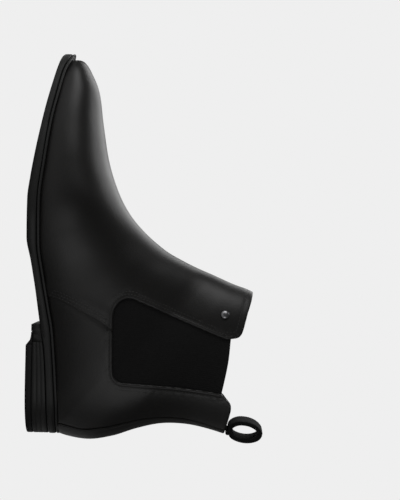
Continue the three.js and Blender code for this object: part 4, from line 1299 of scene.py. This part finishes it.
def build_web():
    """The loop's closed band, with fine ribs across its length."""
    path = curve(LOOP_PATH, 0.7, closed=True)
    tangent = np.roll(path, -1, 0) - np.roll(path, 1, 0)
    tangent /= np.linalg.norm(tangent, axis=1)[:, None]
    normal = np.stack([-tangent[:, 1], tangent[:, 0]], -1)
    weave = WEAVE * (np.arange(len(path)) % 2)
    y = np.linspace(-LOOP_HALF, LOOP_HALF, 26)
    edge = 1 - 0.25 * np.abs(y / LOOP_HALF) ** 10
    half = (LOOP_THICKNESS / 2 - WEAVE + weave)[:, None] * edge[None, :]
    faces_out = []
    for sign in (1, -1):
        place = path[:, None, :] + sign * normal[:, None, :] * half[..., None]
        faces_out.append(np.stack([place[..., 0], np.broadcast_to(y, half.shape), place[..., 1]], -1))
    grid = np.concatenate([faces_out[0], faces_out[1][:, ::-1]], 1)
    rows, columns = grid.shape[:2]
    points = yawed(grid.reshape(-1, 3) - (LOOP_X, 0, 0))
    return new_mesh("pull_loop_web", points, rings_to_faces(rows, columns, closed=True), 50, "loop")


def build_root():
    steps, chamfer = 24, 0.5
    rim = [(KNUCKLE - 0.4, -LOOP_HALF), (KNUCKLE, chamfer - LOOP_HALF), (KNUCKLE, LOOP_HALF - chamfer),
           (KNUCKLE - 0.4, LOOP_HALF)]
    points = yawed(turned(rim, steps)[:, [0, 2, 1]] + (0, 0, KNUCKLE_Z))
    return new_mesh("pull_loop_root", points, drum_faces(len(rim), steps), 50, "loop")


def build_loop():
    """The woven pull loop and the rounded root it bends about."""
    band, root = build_web(), build_root()
    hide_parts("pull_loop")
    return [band, root]


STUD_AT = np.array([-60.3, 155.2])
STUD_RADIUS, STUD_DOME = 3.4, 1.3


def build_stud():
    ts = places([STUD_AT], LATERAL)
    base, out = surface(*ts[0]), normals(*ts.T)[0]
    side = np.cross(out, (0, 0, 1.0))
    side /= np.linalg.norm(side)
    up = np.cross(side, out)
    rim = STUD_RADIUS
    profile = [(0.9, -1.8), (0.9, 0.3), (rim - 0.2, 0.3), (rim, 0.5), (rim, 0.7)]
    profile += [(rim * math.cos(a), 0.7 + STUD_DOME * math.sin(a)) for a in np.linspace(0.15, 1.5, 9)]
    steps = 32
    points = base + turned(profile, steps) @ np.array([side, up, out])
    stud = new_mesh("plain_stud", points, drum_faces(len(profile), steps), 30)
    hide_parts("stud")
    return stud


# Materials -----


def vary_roughness(nodes, links, place, shader, low, high):
    cloud = nodes.new("ShaderNodeTexNoise")
    cloud.inputs["Scale"].default_value = CLOUD_SCALE
    cloud.inputs["Detail"].default_value = 4.0
    spread = nodes.new("ShaderNodeMapRange")
    spread.inputs["To Min"].default_value = low
    spread.inputs["To Max"].default_value = high
    links.new(place.outputs["Object"], cloud.inputs["Vector"])
    links.new(cloud.outputs["Fac"], spread.inputs["Value"])
    links.new(spread.outputs["Result"], shader.inputs["Roughness"])


def add_grain(nodes, links, place, shader, scale, strength, cells):
    grain = nodes.new("ShaderNodeTexVoronoi" if cells else "ShaderNodeTexNoise")
    grain.inputs["Scale"].default_value = scale
    raised = nodes.new("ShaderNodeBump")
    raised.inputs["Strength"].default_value = strength
    raised.inputs["Distance"].default_value = GRAIN_DEPTH
    links.new(place.outputs["Object"], grain.inputs["Vector"])
    links.new(grain.outputs["Distance" if cells else "Fac"], raised.inputs["Height"])
    links.new(raised.outputs["Normal"], shader.inputs["Normal"])


def material(name, colour, roughness, metallic=0.0, grain=None, variation=0.0, cells=False):
    """A principled material. Grain is a (scale, strength) pair, and all patterns are in object space."""
    made = bpy.data.materials.new(name)
    made.use_nodes = True
    nodes, links = made.node_tree.nodes, made.node_tree.links
    shader = nodes["Principled BSDF"]
    shader.inputs["Base Color"].default_value = (*colour, 1)
    shader.inputs["Roughness"].default_value = roughness
    shader.inputs["Metallic"].default_value = metallic
    place = nodes.new("ShaderNodeTexCoord")
    if variation:
        vary_roughness(nodes, links, place, shader, roughness - variation, roughness + variation)
    if grain:
        add_grain(nodes, links, place, shader, *grain, cells)
    return made


def grey(value):
    return (value, value, value)


CLOUD_SCALE, GRAIN_DEPTH = 38.0, 0.0002
SOLE_BLACK = (0.0120, 0.0123, 0.0115)
FINISHES = {
    "upper_leather": material("calf_leather", (0.0105, 0.0100, 0.0094), 0.40, 0, (1500, 0.22), 0.06, True),
    "elastic": material("elastic_web", grey(0.0022), 0.9, 0, (2600, 0.4)),
    "sole": material("sole_rubber", SOLE_BLACK, 0.50, 0, (900, 0.15), 0.05),
    "heel_stack": material("stacked_heel", SOLE_BLACK, 0.48, 0, (900, 0.15), 0.05),
    "heel_rubber": material("lift_rubber", grey(0.009), 0.62, 0, (1200, 0.25)),
    "lining": material("lining_leather", grey(0.006), 0.75, 0, (1800, 0.2)),
    "insole_cover": material("sock_leather", grey(0.004), 0.6, 0, (1500, 0.2)),
    "board": material("fibre_board", (0.25, 0.15, 0.065), 0.9, 0, (700, 0.3)),
    "cork": material("cork_paste", (0.43, 0.24, 0.08), 0.95, 0, (500, 0.6)),
    "steel": material("plain_steel", (0.32, 0.33, 0.34), 0.35, 1),
    "stud_metal": material("dark_nickel", (0.30, 0.30, 0.31), 0.30, 1),
    "zip_metal": material("gunmetal", (0.045, 0.045, 0.048), 0.42, 1),
    "tape": material("woven_tape", (0.0012, 0.0012, 0.0013), 0.95, 0, (2400, 0.5)),
    "foam": material("soft_foam", (0.024, 0.024, 0.026), 1.0, 0, (1500, 0.5)),
    "stiffener": material("stiffened_cloth", (0.57, 0.47, 0.32), 0.9, 0, (1600, 0.4)),
}
THREAD = material("thread", (0.034, 0.034, 0.032), 0.6)


def paint(obj, finish):
    obj.data.materials.clear()
    obj.data.materials.append(finish)


def paint_node(obj, finish):
    """A CAD node keeps its mesh, and takes the material on its object's slots."""
    for place in obj.material_slots:
        place.link = "OBJECT"
        place.material = finish


# Assembly -----

panels, leathers = build_upper()
for obj in leathers:
    paint(obj, FINISHES["upper_leather"])
paint(build_gore(), FINISHES["elastic"])
for obj in build_lining():
    paint(obj, FINISHES["lining"])
paint(build_stitches(panels), THREAD)
paint(build_outsole(), FINISHES["sole"])
paint(build_welt(), FINISHES["sole"])
paint(build_heel_block(), FINISHES["heel_stack"])
for obj in build_heel_rubber():
    paint(obj, FINISHES["heel_rubber"])
for obj in build_shoulders():
    paint(obj, FINISHES["heel_stack"])
paint(build_welt_stitches(), THREAD)
paint(build_sock(), FINISHES["insole_cover"])
for obj in build_zip():
    paint(obj, FINISHES["zip_metal"])
tape_down = (TAPE_START, ZIP_LENGTH + 2)
for end, across in (("front", (-TAPE_EDGE, -TAPE_GAP)), ("rear", (TAPE_GAP, TAPE_EDGE))):
    tape = zip_sheet(f"zip_tape_{end}_web", across, tape_down, TAPE_DEPTHS, f"zip_tape_{end}")
    paint(tape, FINISHES["tape"])
guard_across, guard_down = (-GUARD_HALF, GUARD_HALF), (GUARD_START, ZIP_LENGTH + GUARD_OVERRUN)
guard = zip_sheet("zip_guard_leather", guard_across, guard_down, GUARD_DEPTHS, "zip_guard")
paint(guard, FINISHES["lining"])
paint(build_pull(), FINISHES["zip_metal"])
for obj in build_tab():
    paint(obj, FINISHES["upper_leather"])
for obj in build_loop():
    paint(obj, FINISHES["tape"])
paint(build_stud(), FINISHES["stud_metal"])

slot_of = {part["node"]: part["material_slot"] for part in frame["record"]["subparts"]}
for name, node in frame["nodes"].items():
    paint_node(node, FINISHES[slot_of[name]])
for name in ("zip_slider", "zip_top_stop_front", "zip_top_stop_rear", "zip_bottom_stop"):
    bevelled(frame["nodes"][name], 0.2)


# Stage, lights and world -----

BACKDROP, WORLD_LIGHT = 0.863, 0.055


def make_floor():
    points = [(-3000, -3000, -0.2), (3000, -3000, -0.2), (3000, 3000, -0.2), (-3000, 3000, -0.2)]
    mesh = bpy.data.meshes.new("floor")
    mesh.from_pydata([tuple(np.array(p) * MM) for p in points], [], [(0, 1, 2, 3)])
    floor = bpy.data.objects.new("floor", mesh)
    bpy.context.scene.collection.objects.link(floor)
    floor.data.materials.append(material("floor_paper", grey(BACKDROP), 0.9))
    floor.visible_camera = False


def area_light(name, place, target, size, power):
    data = bpy.data.lights.new(name, "AREA")
    data.shape = "RECTANGLE"
    data.size, data.size_y = size
    data.energy = power
    light = bpy.data.objects.new(name, data)
    bpy.context.scene.collection.objects.link(light)
    light.location = place
    light.rotation_euler = (Vector(target) - Vector(place)).to_track_quat("-Z", "Y").to_euler()
    light.visible_camera = False


def make_world():
    world = bpy.data.worlds.new("studio")
    bpy.context.scene.world = world
    world.use_nodes = True
    nodes, links = world.node_tree.nodes, world.node_tree.links
    nodes.clear()
    output = nodes.new("ShaderNodeOutputWorld")
    mix = nodes.new("ShaderNodeMixShader")
    seen, lit = nodes.new("ShaderNodeBackground"), nodes.new("ShaderNodeBackground")
    seen.inputs["Color"].default_value = (*grey(BACKDROP), 1)
    lit.inputs["Color"].default_value = (*grey(WORLD_LIGHT), 1)
    path = nodes.new("ShaderNodeLightPath")
    links.new(path.outputs["Is Camera Ray"], mix.inputs["Fac"])
    links.new(lit.outputs["Background"], mix.inputs[1])
    links.new(seen.outputs["Background"], mix.inputs[2])
    links.new(mix.outputs["Shader"], output.inputs["Surface"])


make_floor()
make_world()
area_light("toe_softbox", (-1.0, -0.35, 0.35), (-0.24, 0, 0.04), (0.5, 0.5), 2.1)
area_light("top_softbox", (-0.25, 0.45, 1.0), (-0.1, 0, 0.08), (0.9, 0.35), 2.2)
area_light("front_softbox", (0.35, -1.2, 0.25), (0.0, 0, 0.06), (0.7, 0.5), 1.35)
area_light("rim_softbox", (-0.6, 0.8, 0.6), (-0.1, 0, 0.1), (0.8, 0.6), 3.0)
bpy.context.scene.view_settings.view_transform = "Standard"
